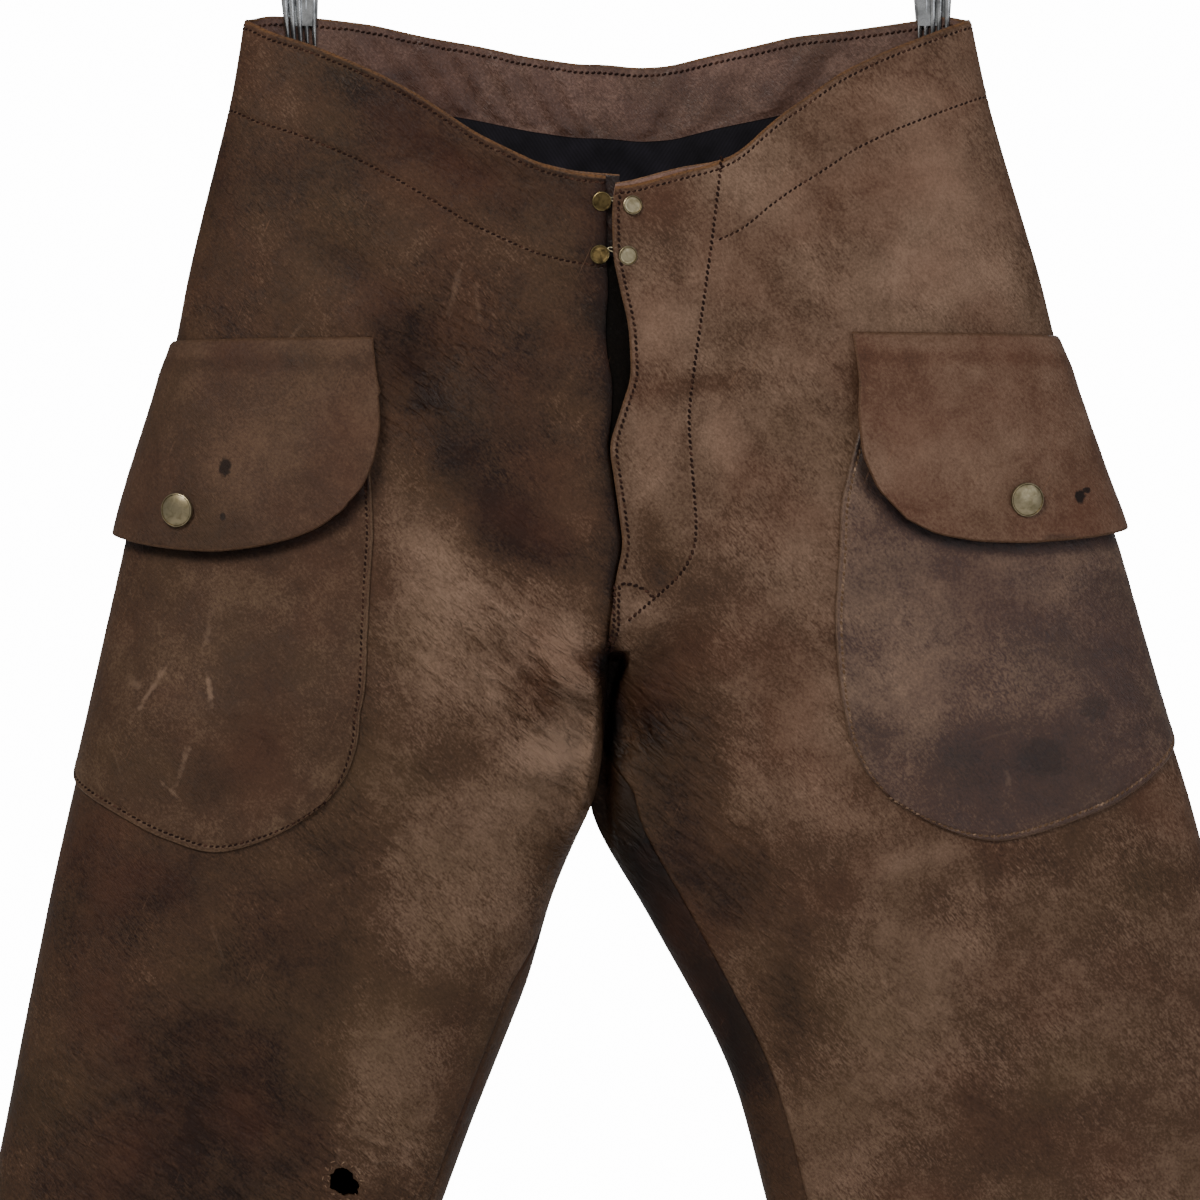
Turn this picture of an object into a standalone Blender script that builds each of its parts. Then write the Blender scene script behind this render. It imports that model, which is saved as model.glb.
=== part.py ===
"""Leather trousers on a clip hanger.

Metres, +Z up. The front faces -Y and the wearer's right side is at -X. The origin is the point
where a rail carries the hanger's hook. The tables below are in millimetres.

Every cut piece is a wall on one body surface. body_point gives that surface: a loop round the hips
above the crotch and a loop round each leg below it, both worked out from the tables of sections.
"""
import math

import bmesh
import bpy
from mathutils import Matrix, Vector
from mathutils.bvhtree import BVHTree

# Driving dimensions, millimetres
LEATHER = 2.0            # thickness of the outer leather
FACING = 1.4             # thickness of the leather facing inside the waist
LINING = 1.0             # thickness of the lining cloth
SEAM_GAP = 0.3           # space between neighbouring pieces
WAIST_SIDE_Z = -156.0    # top of the side seams
CROTCH_Z = -535.0        # where the legs part
HEM_Z = -1240.0          # bottom of the legs
BAND_DEPTH = {"right": 50.0, "left": 43.0}      # height of the faced band along the waist
FACING_DEPTH = {"right": 40.0, "left": 42.0}    # height of the facing inside it
LINING_DEPTH = 105.0     # height of the lining that shows below it
FORK_RISE = 58.0         # height over which the centre seam runs back to the crotch
COLUMNS = 15             # cells across one panel
LEVEL_Z = -322.0         # from here down the panels' grid rows lie level
YOKE_ROWS = 3            # cells from the faced band to the first level row
HIP_ROWS = 8             # cells from there to the crotch
LEG_ROWS = 17            # cells from the crotch to the hem
SEAM_PLANE_Y = -17.0     # plane of the side seams; the hanger's bar lies above the back of the waist
LEG_FULLNESS = 0.82      # power of the sine that gives a leg's section; under 1 fills it out
HIP_FALL = 2.6           # power that keeps the hips deep until close to the side seams
HIP_ROUNDING = 0.55      # power that rounds them there
FORK_POWER = 1.6         # how sharply the centre seam runs back at the crotch

# Outer edges of the body from the front: height, wearer's right, wearer's left
SIDES = (
    ("z", "right", "left"),
    (-150, -195.0, 203.0),
    (-200, -203.0, 213.4),
    (-233, -211.2, 222.8),
    (-266, -219.5, 232.7),
    (-299, -227.2, 242.6),
    (-327, -232.1, 249.2),
    (-365, -240.4, 259.1),
    (-409, -250.8, 270.6),
    (-448, -259.6, 283.8),
    (-497, -270.6, 297.6),
    (-541, -280.0, 310.2),
    (-580, -289.3, 322.9),
    (-629, -300.3, 336.1),
    (-673, -309.1, 348.7),
    (-717, -317.9, 360.8),
    (-761, -326.2, 371.2),
    (-805, -335.5, 380.0),
    (-915, -360.0, 403.0),
    (-1025, -383.0, 424.0),
    (-1135, -404.0, 442.0),
    (-1240, -422.0, 456.0),
)

# Inner edges of the body from the front: the centre seam, and below it each leg's inner edge
INNERS = (
    ("z", "right", "left"),
    (-150, 0.5, 0.5),
    (-240, 2.0, 2.0),
    (-440, 5.0, 5.0),
    (-464, 6.0, 6.0),
    (-500, 4.5, 4.5),
    (-535, 2.0, 2.0),
    (-560, -0.5, -0.5),
    (-588, -6.0, -6.0),
    (-607, -14.9, 1.6),
    (-618, -18.7, 8.2),
    (-640, -27.5, 22.0),
    (-662, -33.5, 34.1),
    (-684, -39.6, 46.8),
    (-717, -52.8, 64.4),
    (-739, -61.6, 73.7),
    (-761, -70.4, 80.3),
    (-805, -86.4, 91.3),
    (-915, -128.0, 121.0),
    (-1025, -165.0, 153.0),
    (-1135, -197.0, 186.0),
    (-1240, -224.0, 217.0),
)

# How far the surface stands out from the plane of the side seams
DEPTHS = (
    ("z", "front_right", "front_left", "back_right", "back_left"),
    (-150, 30.0, 30.0, 33.0, 33.0),
    (-230, 34.0, 34.0, 38.0, 38.0),
    (-330, 43.0, 42.0, 48.0, 46.0),
    (-430, 50.0, 46.0, 56.0, 50.0),
    (-535, 56.0, 45.0, 60.0, 50.0),
    (-640, 56.0, 40.0, 58.0, 44.0),
    (-760, 51.0, 36.0, 53.0, 39.0),
    (-915, 44.0, 31.0, 46.0, 33.0),
    (-1080, 38.0, 27.0, 40.0, 29.0),
    (-1240, 35.0, 25.0, 37.0, 27.0),
)

# Top edges of the waist: distance from the centre, height
FRONT_TOP = (
    ("x", "z"),
    (-195, -156), (-181, -164), (-157, -172), (-141, -179), (-121, -188), (-101, -199),
    (-84, -210), (-68, -221), (-50, -230), (-33, -238), (-14, -243), (3, -245),
    (4, -252), (14, -251), (29, -247), (47, -242), (63, -238), (77, -231),
    (88, -220), (100, -210), (116, -199), (131, -188), (155, -176), (179, -166),
    (194, -160), (203, -156),
)
BACK_TOP = (
    ("x", "z"),
    (-195, -156), (-186, -152), (-157, -152), (-126, -155), (-98, -161), (-68, -166),
    (-40, -172), (-12, -176), (3, -176), (20, -178), (38, -177), (62, -171),
    (86, -166), (108, -161), (140, -158), (175, -154), (194, -152), (203, -156),
)

# Edges of the fly from the front: height, right front's edge, left front's edge
FLY = (
    ("z", "right_front", "left_front"),
    (-240, 3.0, 10.5),
    (-262, 3.0, 6.5),
    (-290, 3.5, 7.0),
    (-308, 4.5, 11.0),
    (-326, 2.8, 15.5),
    (-344, 3.8, 16.5),
    (-356, 7.0, 16.5),
    (-378, 6.0, 9.5),
    (-392, 4.2, 4.8),
    (-416, 7.9, 8.5),
    (-446, 11.9, 12.5),
    (-464, 7.9, 8.5),
    (-500, 4.5, 4.5),
)

# Strip behind the fly: places of its grid's columns and rows, thickness, space behind the fronts
UNDERLAP_X = (-16.0, -6.0, 4.0, 14.0, 24.0, 34.0)
UNDERLAP_ROWS = tuple(range(-296, -465, -12))
UNDERLAP_THICKNESS = 1.6
UNDERLAP_SPACE = 0.5

# Soft folds: face, ends (x, z), half width, and how far the wall moves outwards
FOLDS = (
    ("face", "x0", "z0", "x1", "z1", "width", "rise"),
    ("front", -70, -330, -112, -372, 24, -7.0),
    ("front", -112, -372, -100, -430, 20, -5.0),
    ("front", 58, -492, 30, -528, 18, -6.0),
    ("front", -10, -500, -48, -560, 16, 4.0),
    ("front", 56, -550, 76, -640, 24, -7.0),
    ("front", 24, -530, 30, -600, 16, -5.0),
    ("front", -236, -700, -190, -765, 26, -5.0),
    ("front", -60, -640, -120, -720, 24, 3.5),
    ("front", 160, -640, 250, -720, 30, -4.0),
    ("front", -190, -850, -280, -930, 30, -6.0),
    ("front", -300, -1030, -220, -1090, 28, 4.0),
    ("front", 190, -880, 300, -950, 32, -5.0),
    ("front", 230, -1060, 330, -1110, 28, 3.5),
    ("back", -60, -250, -140, -300, 30, -5.0),
    ("back", 70, -245, 150, -300, 30, -4.5),
    ("back", -20, -430, -110, -500, 26, 5.0),
    ("back", 24, -440, 100, -505, 26, 4.5),
    ("back", -60, -545, -190, -590, 24, -7.0),
    ("back", 40, -550, 190, -600, 24, -6.0),
    ("back", -110, -700, -230, -760, 30, -6.0),
    ("back", 130, -720, 260, -770, 30, -5.0),
    ("back", -180, -880, -290, -930, 28, -8.0),
    ("back", 170, -900, 300, -950, 28, -7.0),
    ("back", -230, -1060, -320, -1100, 28, 4.0),
    ("back", 220, -1080, 330, -1120, 28, 3.5),
)

# Leg inseams lie forward of the legs' inner edges by this angle round the loop
INSEAM_TURN = {"right": 0.34, "left": 0.46}
INSEAM_TRIM = 0.004      # angle taken off each panel there for the seam gap
INSEAM_RUN = 50.0        # height below the crotch over which they get there

# Pockets and flaps laid flat: distance round the leg from the side seam (front is plus), height.
POCKETS = {
    "right": (("u", "z"),
              (123, -356), (136, -400), (148, -437), (154, -473), (160, -496), (173, -529),
              (177, -551), (175, -571), (166, -585), (151, -598), (134, -606), (117, -611),
              (104, -610), (76, -601), (49, -589), (15, -575), (-18, -557), (-46, -530),
              (-58, -500), (-75, -426), (-90, -356)),
    "left": (("u", "z"),
             (119, -352), (137, -388), (158, -425), (172, -465), (178, -484), (186, -510),
             (194, -534), (195, -553), (191, -570), (181, -583), (164, -595), (147, -603),
             (130, -606), (113, -603), (92, -597), (62, -587), (37, -574), (14, -559),
             (-14, -538), (-30, -510), (-38, -480), (-50, -421), (-66, -352)),
}
FLAPS = {
    "right": (("u", "z"),
              (122, -333), (127, -351), (133, -368), (137, -384), (138, -401), (136, -416),
              (130, -428), (119, -437), (106, -443), (90, -447), (67, -450), (44, -449),
              (23, -446), (0, -441), (-25, -434), (-45, -424), (-58, -410), (-67, -390),
              (-75, -368), (-90, -333)),
    "left": (("u", "z"),
             (124, -330), (128, -357), (134, -375), (138, -397), (136, -416), (126, -432),
             (113, -440), (91, -444), (63, -445), (32, -443), (0, -439), (-20, -432),
             (-36, -420), (-46, -402), (-53, -380), (-60, -355), (-66, -330)),
}
FLAP_LIFT = 4.0          # how far a flap's lower edge stands off its pocket
MOUTH_DROP = 18.0        # from a flap's top down to where it has cleared the pocket's mouth
SNAP_RADIUS = 8.8
SNAP_HEIGHT = 2.6
SNAP_PLACE = {"right": (-228.5, -426.5), "left": (230.5, -421.0)}    # x, z from the front
CAP_RADIUS = 5.3
CAP_HEIGHT = 2.2
CAP_SEAT = 0.5           # how far the caps and snaps stand off the leather's facets
CAPS = (
    ("name", "x", "z"),
    ("hook_cap_upper_right", 1.0, -259.5),
    ("hook_cap_upper_left", 17.6, -261.8),
    ("hook_cap_lower_right", 0.0, -288.6),
    ("hook_cap_lower_left", 15.0, -289.2),
)

# The worn hole in the right leg's front
HOLE = {"x": -138.0, "z": -789.0, "width": 9.0, "height": 6.5, "tilt": -0.8}

# The hanger
BAR_Z = -92.0
BAR_RADIUS = 3.0
BAR_ENDS = (-196.0, 212.0)
WIRE_RADIUS = 2.0
HOOK_RADIUS = 20.0       # inside of the hook
CLIP_X = {"right": -168.0, "left": 184.0}
CLIP_WIDTH = 22.0
CLIP_DEPTH = 28.0
CLIP_HEIGHT = 22.0
CLIP_DROP = 4.0          # from the bar down to the middle of a clip's block
PRONG_SPREADS = (-1.0, -0.36, 0.36, 1.0)     # places of the prongs across a clip
PRONG_ROOT_REACH = 8.6   # from a clip's middle to its outer prongs' roots
PRONG_TIP_REACH = 7.8    # and to their tips
CLIP_SPREAD = 3.0        # how much further from the leather a prong's root lies than its tip
CLIP_LEAN = {"right": 3.0, "left": 0.0}
PRONG_RADIUS = 0.9
PRONG_TIP_Z = -170.0


def rows(table):
    """A table's rows as dictionaries keyed by its column names."""
    names = table[0]
    return [dict(zip(names, row)) for row in table[1:]]


def interpolate(table, key, value, column):
    """Read a column of a table at a value of its key column, along straight lines between rows."""
    lines = sorted(rows(table), key=lambda row: row[key])
    if value <= lines[0][key]:
        return lines[0][column]
    for low, high in zip(lines, lines[1:]):
        if value <= high[key]:
            part = (value - low[key]) / (high[key] - low[key])
            return low[column] + part * (high[column] - low[column])
    return lines[-1][column]


def smooth(part):
    part = min(max(part, 0.0), 1.0)
    return part * part * (3.0 - 2.0 * part)


def fold_rise(face, x, z):
    """Sum of the folds' rises at a place on the front or the back."""
    total = 0.0
    for fold in rows(FOLDS):
        if fold["face"] != face:
            continue
        run = Vector((fold["x1"] - fold["x0"], fold["z1"] - fold["z0"]))
        away = Vector((x - fold["x0"], z - fold["z0"]))
        along = min(max(away.dot(run) / run.length_squared, 0.0), 1.0)
        gap = (away - run * along).length / fold["width"]
        total += fold["rise"] * math.exp(-gap * gap)
    return total


def body_point(side, turn, z):
    """Point of the outer surface. turn is 0 at the side seam, pi at the inner edge by way of the
    front, and minus pi there by way of the back."""
    face = "front" if turn >= 0.0 else "back"
    outer = interpolate(SIDES, "z", z, side)
    inner = interpolate(INNERS, "z", z, side)
    depth = interpolate(DEPTHS, "z", z, face + "_" + side)
    middle = 0.5 * (outer + inner)
    half = 0.5 * (outer - inner)
    x = middle + half * math.cos(turn)
    bow = abs(math.sin(turn))
    leg_depth = depth * bow ** LEG_FULLNESS
    across = min(abs((x - inner) / (outer - inner)), 1.0)
    both = [interpolate(DEPTHS, "z", z, face + "_" + name) for name in ("right", "left")]
    shared = 0.5 * sum(both)
    hip_depth = shared + (depth - shared) * smooth(across)
    hip_depth *= (1.0 - across ** HIP_FALL) ** HIP_ROUNDING
    fork = min(max((CROTCH_Z + FORK_RISE - z) / FORK_RISE, 0.0), 1.0) ** FORK_POWER
    out = hip_depth + (leg_depth - hip_depth) * fork
    edge_fade = smooth(bow * 1.6 + (1.0 - fork) * (1.0 - across))
    out += fold_rise(face, x, z) * edge_fade
    return Vector((x, SEAM_PLANE_Y - out if face == "front" else SEAM_PLANE_Y + out, z))


def turn_at(side, z, x):
    """Turn at which the surface of one side reaches a distance x from the centre."""
    outer = interpolate(SIDES, "z", z, side)
    inner = interpolate(INNERS, "z", z, side)
    cosine = (x - 0.5 * (outer + inner)) / (0.5 * (outer - inner))
    return math.acos(min(max(cosine, -1.0), 1.0))


def body_normal(side, turn, z):
    """Outward unit normal, from neighbouring points; it turns round the legs' inner edges."""
    step = 0.02
    closed = z <= CROTCH_Z
    ahead = turn + step
    behind = turn - step
    if not closed and abs(ahead) > math.pi:
        ahead = turn
    if not closed and abs(behind) > math.pi:
        behind = turn
    if ahead > math.pi:
        ahead -= 2.0 * math.pi
    if behind < -math.pi:
        behind += 2.0 * math.pi
    round_loop = body_point(side, ahead, z) - body_point(side, behind, z)
    down = body_point(side, turn, z - 8.0) - body_point(side, turn, z + 8.0)
    normal = round_loop.cross(down).normalized()
    return normal if side == "left" else -normal


def at_centre(x, z, face):
    """Point and normal of the surface near the centre seam, whichever side x lies on."""
    side = "right" if x < interpolate(INNERS, "z", z, "right") else "left"
    turn = turn_at(side, z, x)
    if face == "back":
        turn = -turn
    return body_point(side, turn, z), body_normal(side, turn, z)


def inner_edge_x(side, face, z):
    """Distance from the centre of a panel's edge above the crotch; the fly opens the front's."""
    if face == "front" and z > -500.0:
        return interpolate(FLY, "z", z, side + "_front")
    return interpolate(INNERS, "z", z, side)


def surface_at(side, face, part, z):
    """Point and normal at a part of the way from the side seam to the panel's inner edge."""
    outer = interpolate(SIDES, "z", z, side)
    if z > CROTCH_Z:
        inner = interpolate(INNERS, "z", z, side)
        edge = inner_edge_x(side, face, z)
        x = 0.5 * (outer + edge) + 0.5 * (outer - edge) * math.cos(math.pi * part)
        if part == 0.0:
            return body_point(side, 0.0, z), body_normal(side, 0.0, z)
        past_centre = (inner - x) * math.copysign(1.0, outer - inner)
        if past_centre > 0.05:
            return at_centre(x, z, face)
        turn = turn_at(side, z, x)
        turn = turn if face == "front" else -turn
        return body_point(side, turn, z), body_normal(side, turn, z)
    shift = INSEAM_TURN[side] * smooth((CROTCH_Z - z) / INSEAM_RUN)
    if face == "front":
        turn = part * (math.pi - shift - INSEAM_TRIM)
    else:
        turn = -part * (math.pi + shift - INSEAM_TRIM)
        if turn < -math.pi:
            turn += 2.0 * math.pi
    return body_point(side, turn, z), body_normal(side, turn, z)


def column_top(side, face, part):
    """Height of the waist's edge at one column of a panel."""
    table = FRONT_TOP if face == "front" else BACK_TOP
    z = WAIST_SIDE_Z
    for _ in range(4):
        z = interpolate(table, "x", surface_at(side, face, part, z)[0].x, "z")
    return z


def off_seams(point, side, face):
    """A point moved off the seam planes by half of the seam gap."""
    half = 0.5 * SEAM_GAP
    x = point.x - half if side == "right" else point.x + half
    y = point.y - half if face == "front" else point.y + half
    return Vector((x, y, point.z))


def column_heights(side, top):
    """Heights of a column's grid points: two cells of the faced band, then down to the hem."""
    seam = top - BAND_DEPTH[side]
    upper = [seam + (LEVEL_Z - seam) * row / YOKE_ROWS for row in range(1, YOKE_ROWS)]
    upper += [LEVEL_Z + (CROTCH_Z - LEVEL_Z) * row / HIP_ROWS for row in range(HIP_ROWS)]
    legs = [CROTCH_Z + (HEM_Z - CROTCH_Z) * row / LEG_ROWS for row in range(LEG_ROWS + 1)]
    return [top, 0.5 * (top + seam), seam] + upper + legs


def body_grid(side, face):
    """Rows of (point, normal) for one quarter of the trousers, side seam first."""
    columns = []
    for index in range(COLUMNS + 1):
        part = index / COLUMNS
        column = []
        for z in column_heights(side, column_top(side, face, part)):
            point, normal = surface_at(side, face, part, z)
            column.append((off_seams(point, side, face), normal))
        columns.append(column)
    return [list(row) for row in zip(*columns)]


def natural_outward(side, face):
    """Whether a grid with rows down and columns inwards has its faces outwards as listed."""
    return (side == "right") == (face == "back")


def new_object(name, mesh, material):
    item = bpy.data.objects.new(name, mesh)
    mesh.materials.append(material)
    collection.objects.link(item)
    return item


def wall_object(name, grid, outward, near, far, material):
    """Closed wall on a grid of (point, normal), from near to far millimetres off the surface."""
    wide = len(grid[0])
    tall = len(grid)
    count = wide * tall
    verts = []
    for distance in (far, near):
        for row in grid:
            verts.extend(0.001 * (point + normal * distance) for point, normal in row)
    faces = []
    for r in range(tall - 1):
        for c in range(wide - 1):
            a = r * wide + c
            b = a + wide
            for face in ((a, a + 1, b + 1), (a, b + 1, b)):
                faces.append(face)
                faces.append(tuple(count + index for index in reversed(face)))
    rim = list(range(wide))
    rim += [r * wide + wide - 1 for r in range(1, tall)]
    rim += [(tall - 1) * wide + c for c in range(wide - 2, -1, -1)]
    rim += [r * wide for r in range(tall - 2, 0, -1)]
    for first, second in zip(rim, rim[1:] + rim[:1]):
        faces.append((second, first, count + first, count + second))
    if not outward:
        faces = [tuple(reversed(face)) for face in faces]
    mesh = bpy.data.meshes.new(name)
    mesh.from_pydata([tuple(v) for v in verts], [], faces)
    return new_object(name, mesh, material)


def blended(first, second, part):
    """A (point, normal) pair part of the way between two neighbours on one facet."""
    point = first[0].lerp(second[0], part)
    normal = first[1].lerp(second[1], part).normalized()
    return point, normal


def strip_below(grid, start, depth):
    """Rows of a body grid between two depths below the waist, cut along its own facets."""
    tops = [cell[0].z for cell in grid[0]]

    def cut(level):
        row = []
        for c, top in enumerate(tops):
            for high, low in zip(grid, grid[1:]):
                reach = top - low[c][0].z
                if reach >= level - 1e-6:
                    span = high[c][0].z - low[c][0].z
                    row.append(blended(high[c], low[c], (high[c][0].z - top + level) / span))
                    break
        return row

    inside = [
        row for row in grid
        if start + 3.0 < tops[0] - row[0][0].z < start + depth - 3.0
    ]
    return [cut(start)] + inside + [cut(start + depth)]


def flat_sheet(side, grids):
    """The side's front and back laid flat round the side seam: flat place (u, z) at each vertex,
    with the body's point and normal kept as layers that a cut carries along the facets."""
    front = grids[side, "front"]
    back = grids[side, "back"]
    sheet = bmesh.new()
    point_layer = sheet.verts.layers.float_vector.new("point")
    normal_layer = sheet.verts.layers.float_vector.new("normal")
    lines = []
    for front_row, back_row in zip(front[2:], back[2:]):
        cells = [(1.0, cell) for cell in front_row]
        cells = [(-1.0, cell) for cell in reversed(back_row[1:])] + cells
        seam_index = len(back_row) - 1
        reach = [0.0]
        for (_, first), (_, second) in zip(cells, cells[1:]):
            reach.append(reach[-1] + (second[0] - first[0]).length)
        line = []
        for (_, (point, normal)), place in zip(cells, reach):
            vert = sheet.verts.new((place - reach[seam_index], 0.0, point.z))
            vert[point_layer] = point
            vert[normal_layer] = normal
            line.append(vert)
        lines.append(line)
    for upper, lower in zip(lines, lines[1:]):
        for c in range(len(upper) - 1):
            on_front = c >= len(back[0]) - 1
            a, b, e, f = upper[c], upper[c + 1], lower[c + 1], lower[c]
            if on_front:
                sheet.faces.new((a, b, e))
                sheet.faces.new((a, e, f))
            else:
                sheet.faces.new((a, b, f))
                sheet.faces.new((b, e, f))
    return sheet


def inside_outline(place, points):
    """Whether a flat place lies inside a closed outline."""
    inside = False
    for first, second in zip(points, points[1:] + points[:1]):
        if (first.z > place.z) != (second.z > place.z):
            cross_x = first.x + (place.z - first.z) * (second.x - first.x) / (second.z - first.z)
            if place.x < cross_x:
                inside = not inside
    return inside


def trim(sheet, outline):
    """Cut a flat sheet along each stretch of its outline and drop what lies outside."""
    points = [Vector((row["u"], 0.0, row["z"])) for row in rows(outline)]
    for first, second in zip(points, points[1:] + points[:1]):
        across = (second - first).cross(Vector((0.0, 1.0, 0.0)))
        low_x, high_x = sorted((first.x, second.x))
        low_z, high_z = sorted((first.z, second.z))
        near = []
        for face in sheet.faces:
            face_x = [vert.co.x for vert in face.verts]
            face_z = [vert.co.z for vert in face.verts]
            if min(face_x) <= high_x and max(face_x) >= low_x:
                if min(face_z) <= high_z and max(face_z) >= low_z:
                    near.append(face)
        edges = {edge for face in near for edge in face.edges}
        verts = {vert for face in near for vert in face.verts}
        bmesh.ops.bisect_plane(
            sheet, geom=list(verts) + list(edges) + near, dist=1e-4,
            plane_co=first, plane_no=across)
    outside = [f for f in sheet.faces if not inside_outline(f.calc_center_median(), points)]
    bmesh.ops.delete(sheet, geom=outside, context="FACES")
    lone = [vert for vert in sheet.verts if not vert.link_faces]
    bmesh.ops.delete(sheet, geom=lone, context="VERTS")


def overlay(name, side, grids, outline, creases, lift, material):
    """A piece that lies on the side of a leg, cut flat to its outline and wrapped round the body.
    It bends along the creases, and lift says how far it stands off its seat at a height."""
    near = SEAM_GAP
    thickness = LEATHER
    sheet = flat_sheet(side, grids)
    trim(sheet, outline)
    for z in creases:
        geometry = sheet.verts[:] + sheet.edges[:] + sheet.faces[:]
        bmesh.ops.bisect_plane(
            sheet, geom=geometry, dist=1e-4, plane_co=(0.0, 0.0, z), plane_no=(0.0, 0.0, 1.0))
    bmesh.ops.remove_doubles(sheet, verts=sheet.verts, dist=0.4)
    bmesh.ops.triangulate(sheet, faces=sheet.faces)
    point_layer = sheet.verts.layers.float_vector["point"]
    normal_layer = sheet.verts.layers.float_vector["normal"]
    sheet.verts.ensure_lookup_table()
    near_points = []
    far_points = []
    for vert in sheet.verts:
        normal = Vector(vert[normal_layer]).normalized()
        base = near + lift(vert.co.z)
        near_points.append(0.001 * (Vector(vert[point_layer]) + normal * base))
        far_points.append(0.001 * (Vector(vert[point_layer]) + normal * (base + thickness)))
    count = len(near_points)
    faces = []
    for face in sheet.faces:
        corners = [vert.index for vert in face.verts]
        faces.append(tuple(corners))
        faces.append(tuple(count + index for index in reversed(corners)))
    for edge in sheet.edges:
        if not edge.is_boundary:
            continue
        loop = edge.link_loops[0]
        first = loop.vert.index
        second = loop.link_loop_next.vert.index
        faces.append((second, first, count + first, count + second))
    sheet.free()
    mesh = bpy.data.meshes.new(name)
    mesh.from_pydata([tuple(v) for v in far_points + near_points], [], faces)
    check = bmesh.new()
    check.from_mesh(mesh)
    bmesh.ops.recalc_face_normals(check, faces=check.faces)
    check.to_mesh(mesh)
    check.free()
    return new_object(name, mesh, material)


def carrier(objects):
    """Tree of the built walls' faces, in metres, to set small pieces against."""
    verts = []
    faces = []
    for item in objects:
        base = len(verts)
        verts.extend(vert.co.copy() for vert in item.data.vertices)
        faces.extend([base + index for index in face.vertices] for face in item.data.polygons)
    return BVHTree.FromPolygons(verts, faces)


def front_hit(tree, x, z):
    """First point of the carried walls seen from the front at (x, z) millimetres, or nothing."""
    origin = Vector((0.001 * x, -0.5, 0.001 * z))
    place, normal, _, _ = tree.ray_cast(origin, Vector((0.0, 1.0, 0.0)), 0.9)
    return (place * 1000.0, normal) if place else (None, None)


def fly_underlap(material):
    """Strip behind the fly that carries the hooks' side, inside both fronts."""
    grid = []
    for z in UNDERLAP_ROWS:
        line = []
        for x in UNDERLAP_X:
            place, _ = at_centre(x, z, "front")
            line.append((place, Vector((0.0, -1.0, 0.0))))
        grid.append(line)
    near = -LEATHER - UNDERLAP_SPACE
    return wall_object("fly_underlap", grid, False, near - UNDERLAP_THICKNESS, near, material)


def turned_cap(name, radius, height, place, normal, steps, material):
    """Domed metal cap: a profile turned about its axis, its flat base just off the leather."""
    profile = [
        (0.0, height), (0.45 * radius, 0.93 * height), (0.78 * radius, 0.68 * height),
        (0.9 * radius, 0.5 * height), (radius, 0.42 * height), (radius, 0.0), (0.0, 0.0),
    ]
    mesh = bpy.data.meshes.new(name)
    verts = [(0.001 * x, 0.0, 0.001 * z) for x, z in profile]
    mesh.from_pydata(verts, [(i, i + 1) for i in range(len(verts) - 1)], [])
    item = new_object(name, mesh, material)
    item.rotation_mode = "QUATERNION"
    item.rotation_quaternion = normal.to_track_quat("Z", "X")
    item.location = 0.001 * place
    turn = item.modifiers.new("turn", "SCREW")
    turn.steps = steps
    turn.render_steps = steps
    turn.use_merge_vertices = True
    turn.merge_threshold = 0.00001
    return item


def wire(name, points, radius, sides, material):
    """Round wire through a list of points, in millimetres, with closed ends."""
    curve = bpy.data.curves.new(name, "CURVE")
    curve.dimensions = "3D"
    curve.bevel_depth = 0.001 * radius
    curve.bevel_resolution = sides
    curve.use_fill_caps = True
    spline = curve.splines.new("POLY")
    spline.points.add(len(points) - 1)
    for target, point in zip(spline.points, points):
        target.co = (0.001 * point[0], 0.001 * point[1], 0.001 * point[2], 1.0)
    item = bpy.data.objects.new(name, curve)
    curve.materials.append(material)
    collection.objects.link(item)
    return item


def hanger(material):
    """Bar and hook of a plain steel clip hanger."""
    centre_x = 0.5 * (BAR_ENDS[0] + BAR_ENDS[1])
    length = BAR_ENDS[1] - BAR_ENDS[0]
    bpy.ops.mesh.primitive_cylinder_add(
        vertices=20, radius=0.001 * BAR_RADIUS, depth=0.001 * length,
        location=(0.001 * centre_x, 0.0, 0.001 * BAR_Z), rotation=(0.0, 0.5 * math.pi, 0.0))
    bar = bpy.context.object
    bar.name = "hanger_bar"
    bar.data.name = "hanger_bar"
    bar.data.materials.append(material)
    bpy.context.collection.objects.unlink(bar)
    collection.objects.link(bar)
    loop = HOOK_RADIUS + WIRE_RADIUS
    points = []
    for step in range(21):
        angle = math.radians(205.0 - 275.0 * step / 20.0)
        points.append((loop * math.cos(angle), 0.0, -HOOK_RADIUS + loop * math.sin(angle)))
    foot = BAR_Z + BAR_RADIUS + SEAM_GAP
    points += [(1.6, 0.0, -50.0), (0.0, 0.0, -58.0), (0.0, 0.0, foot)]
    wire("hanger_hook", points, WIRE_RADIUS, 2, material)


def cone_between(tip, root, tip_radius, root_radius, material):
    """Tapered prong from its root to its tip, as a loose object to join to the clip."""
    run = tip - root
    mesh = bpy.data.meshes.new("prong")
    shape = bmesh.new()
    bmesh.ops.create_cone(
        shape, cap_ends=True, segments=8, radius1=0.001 * root_radius,
        radius2=0.001 * tip_radius, depth=0.001 * run.length)
    turn = run.to_track_quat("Z", "X").to_matrix().to_4x4()
    bmesh.ops.transform(
        shape, matrix=Matrix.Translation(0.001 * (root + 0.5 * run)) @ turn, verts=shape.verts)
    shape.to_mesh(mesh)
    shape.free()
    item = bpy.data.objects.new("prong", mesh)
    mesh.materials.append(material)
    cutters.objects.link(item)
    item.hide_render = True
    item.display_type = "WIRE"
    return item


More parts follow.
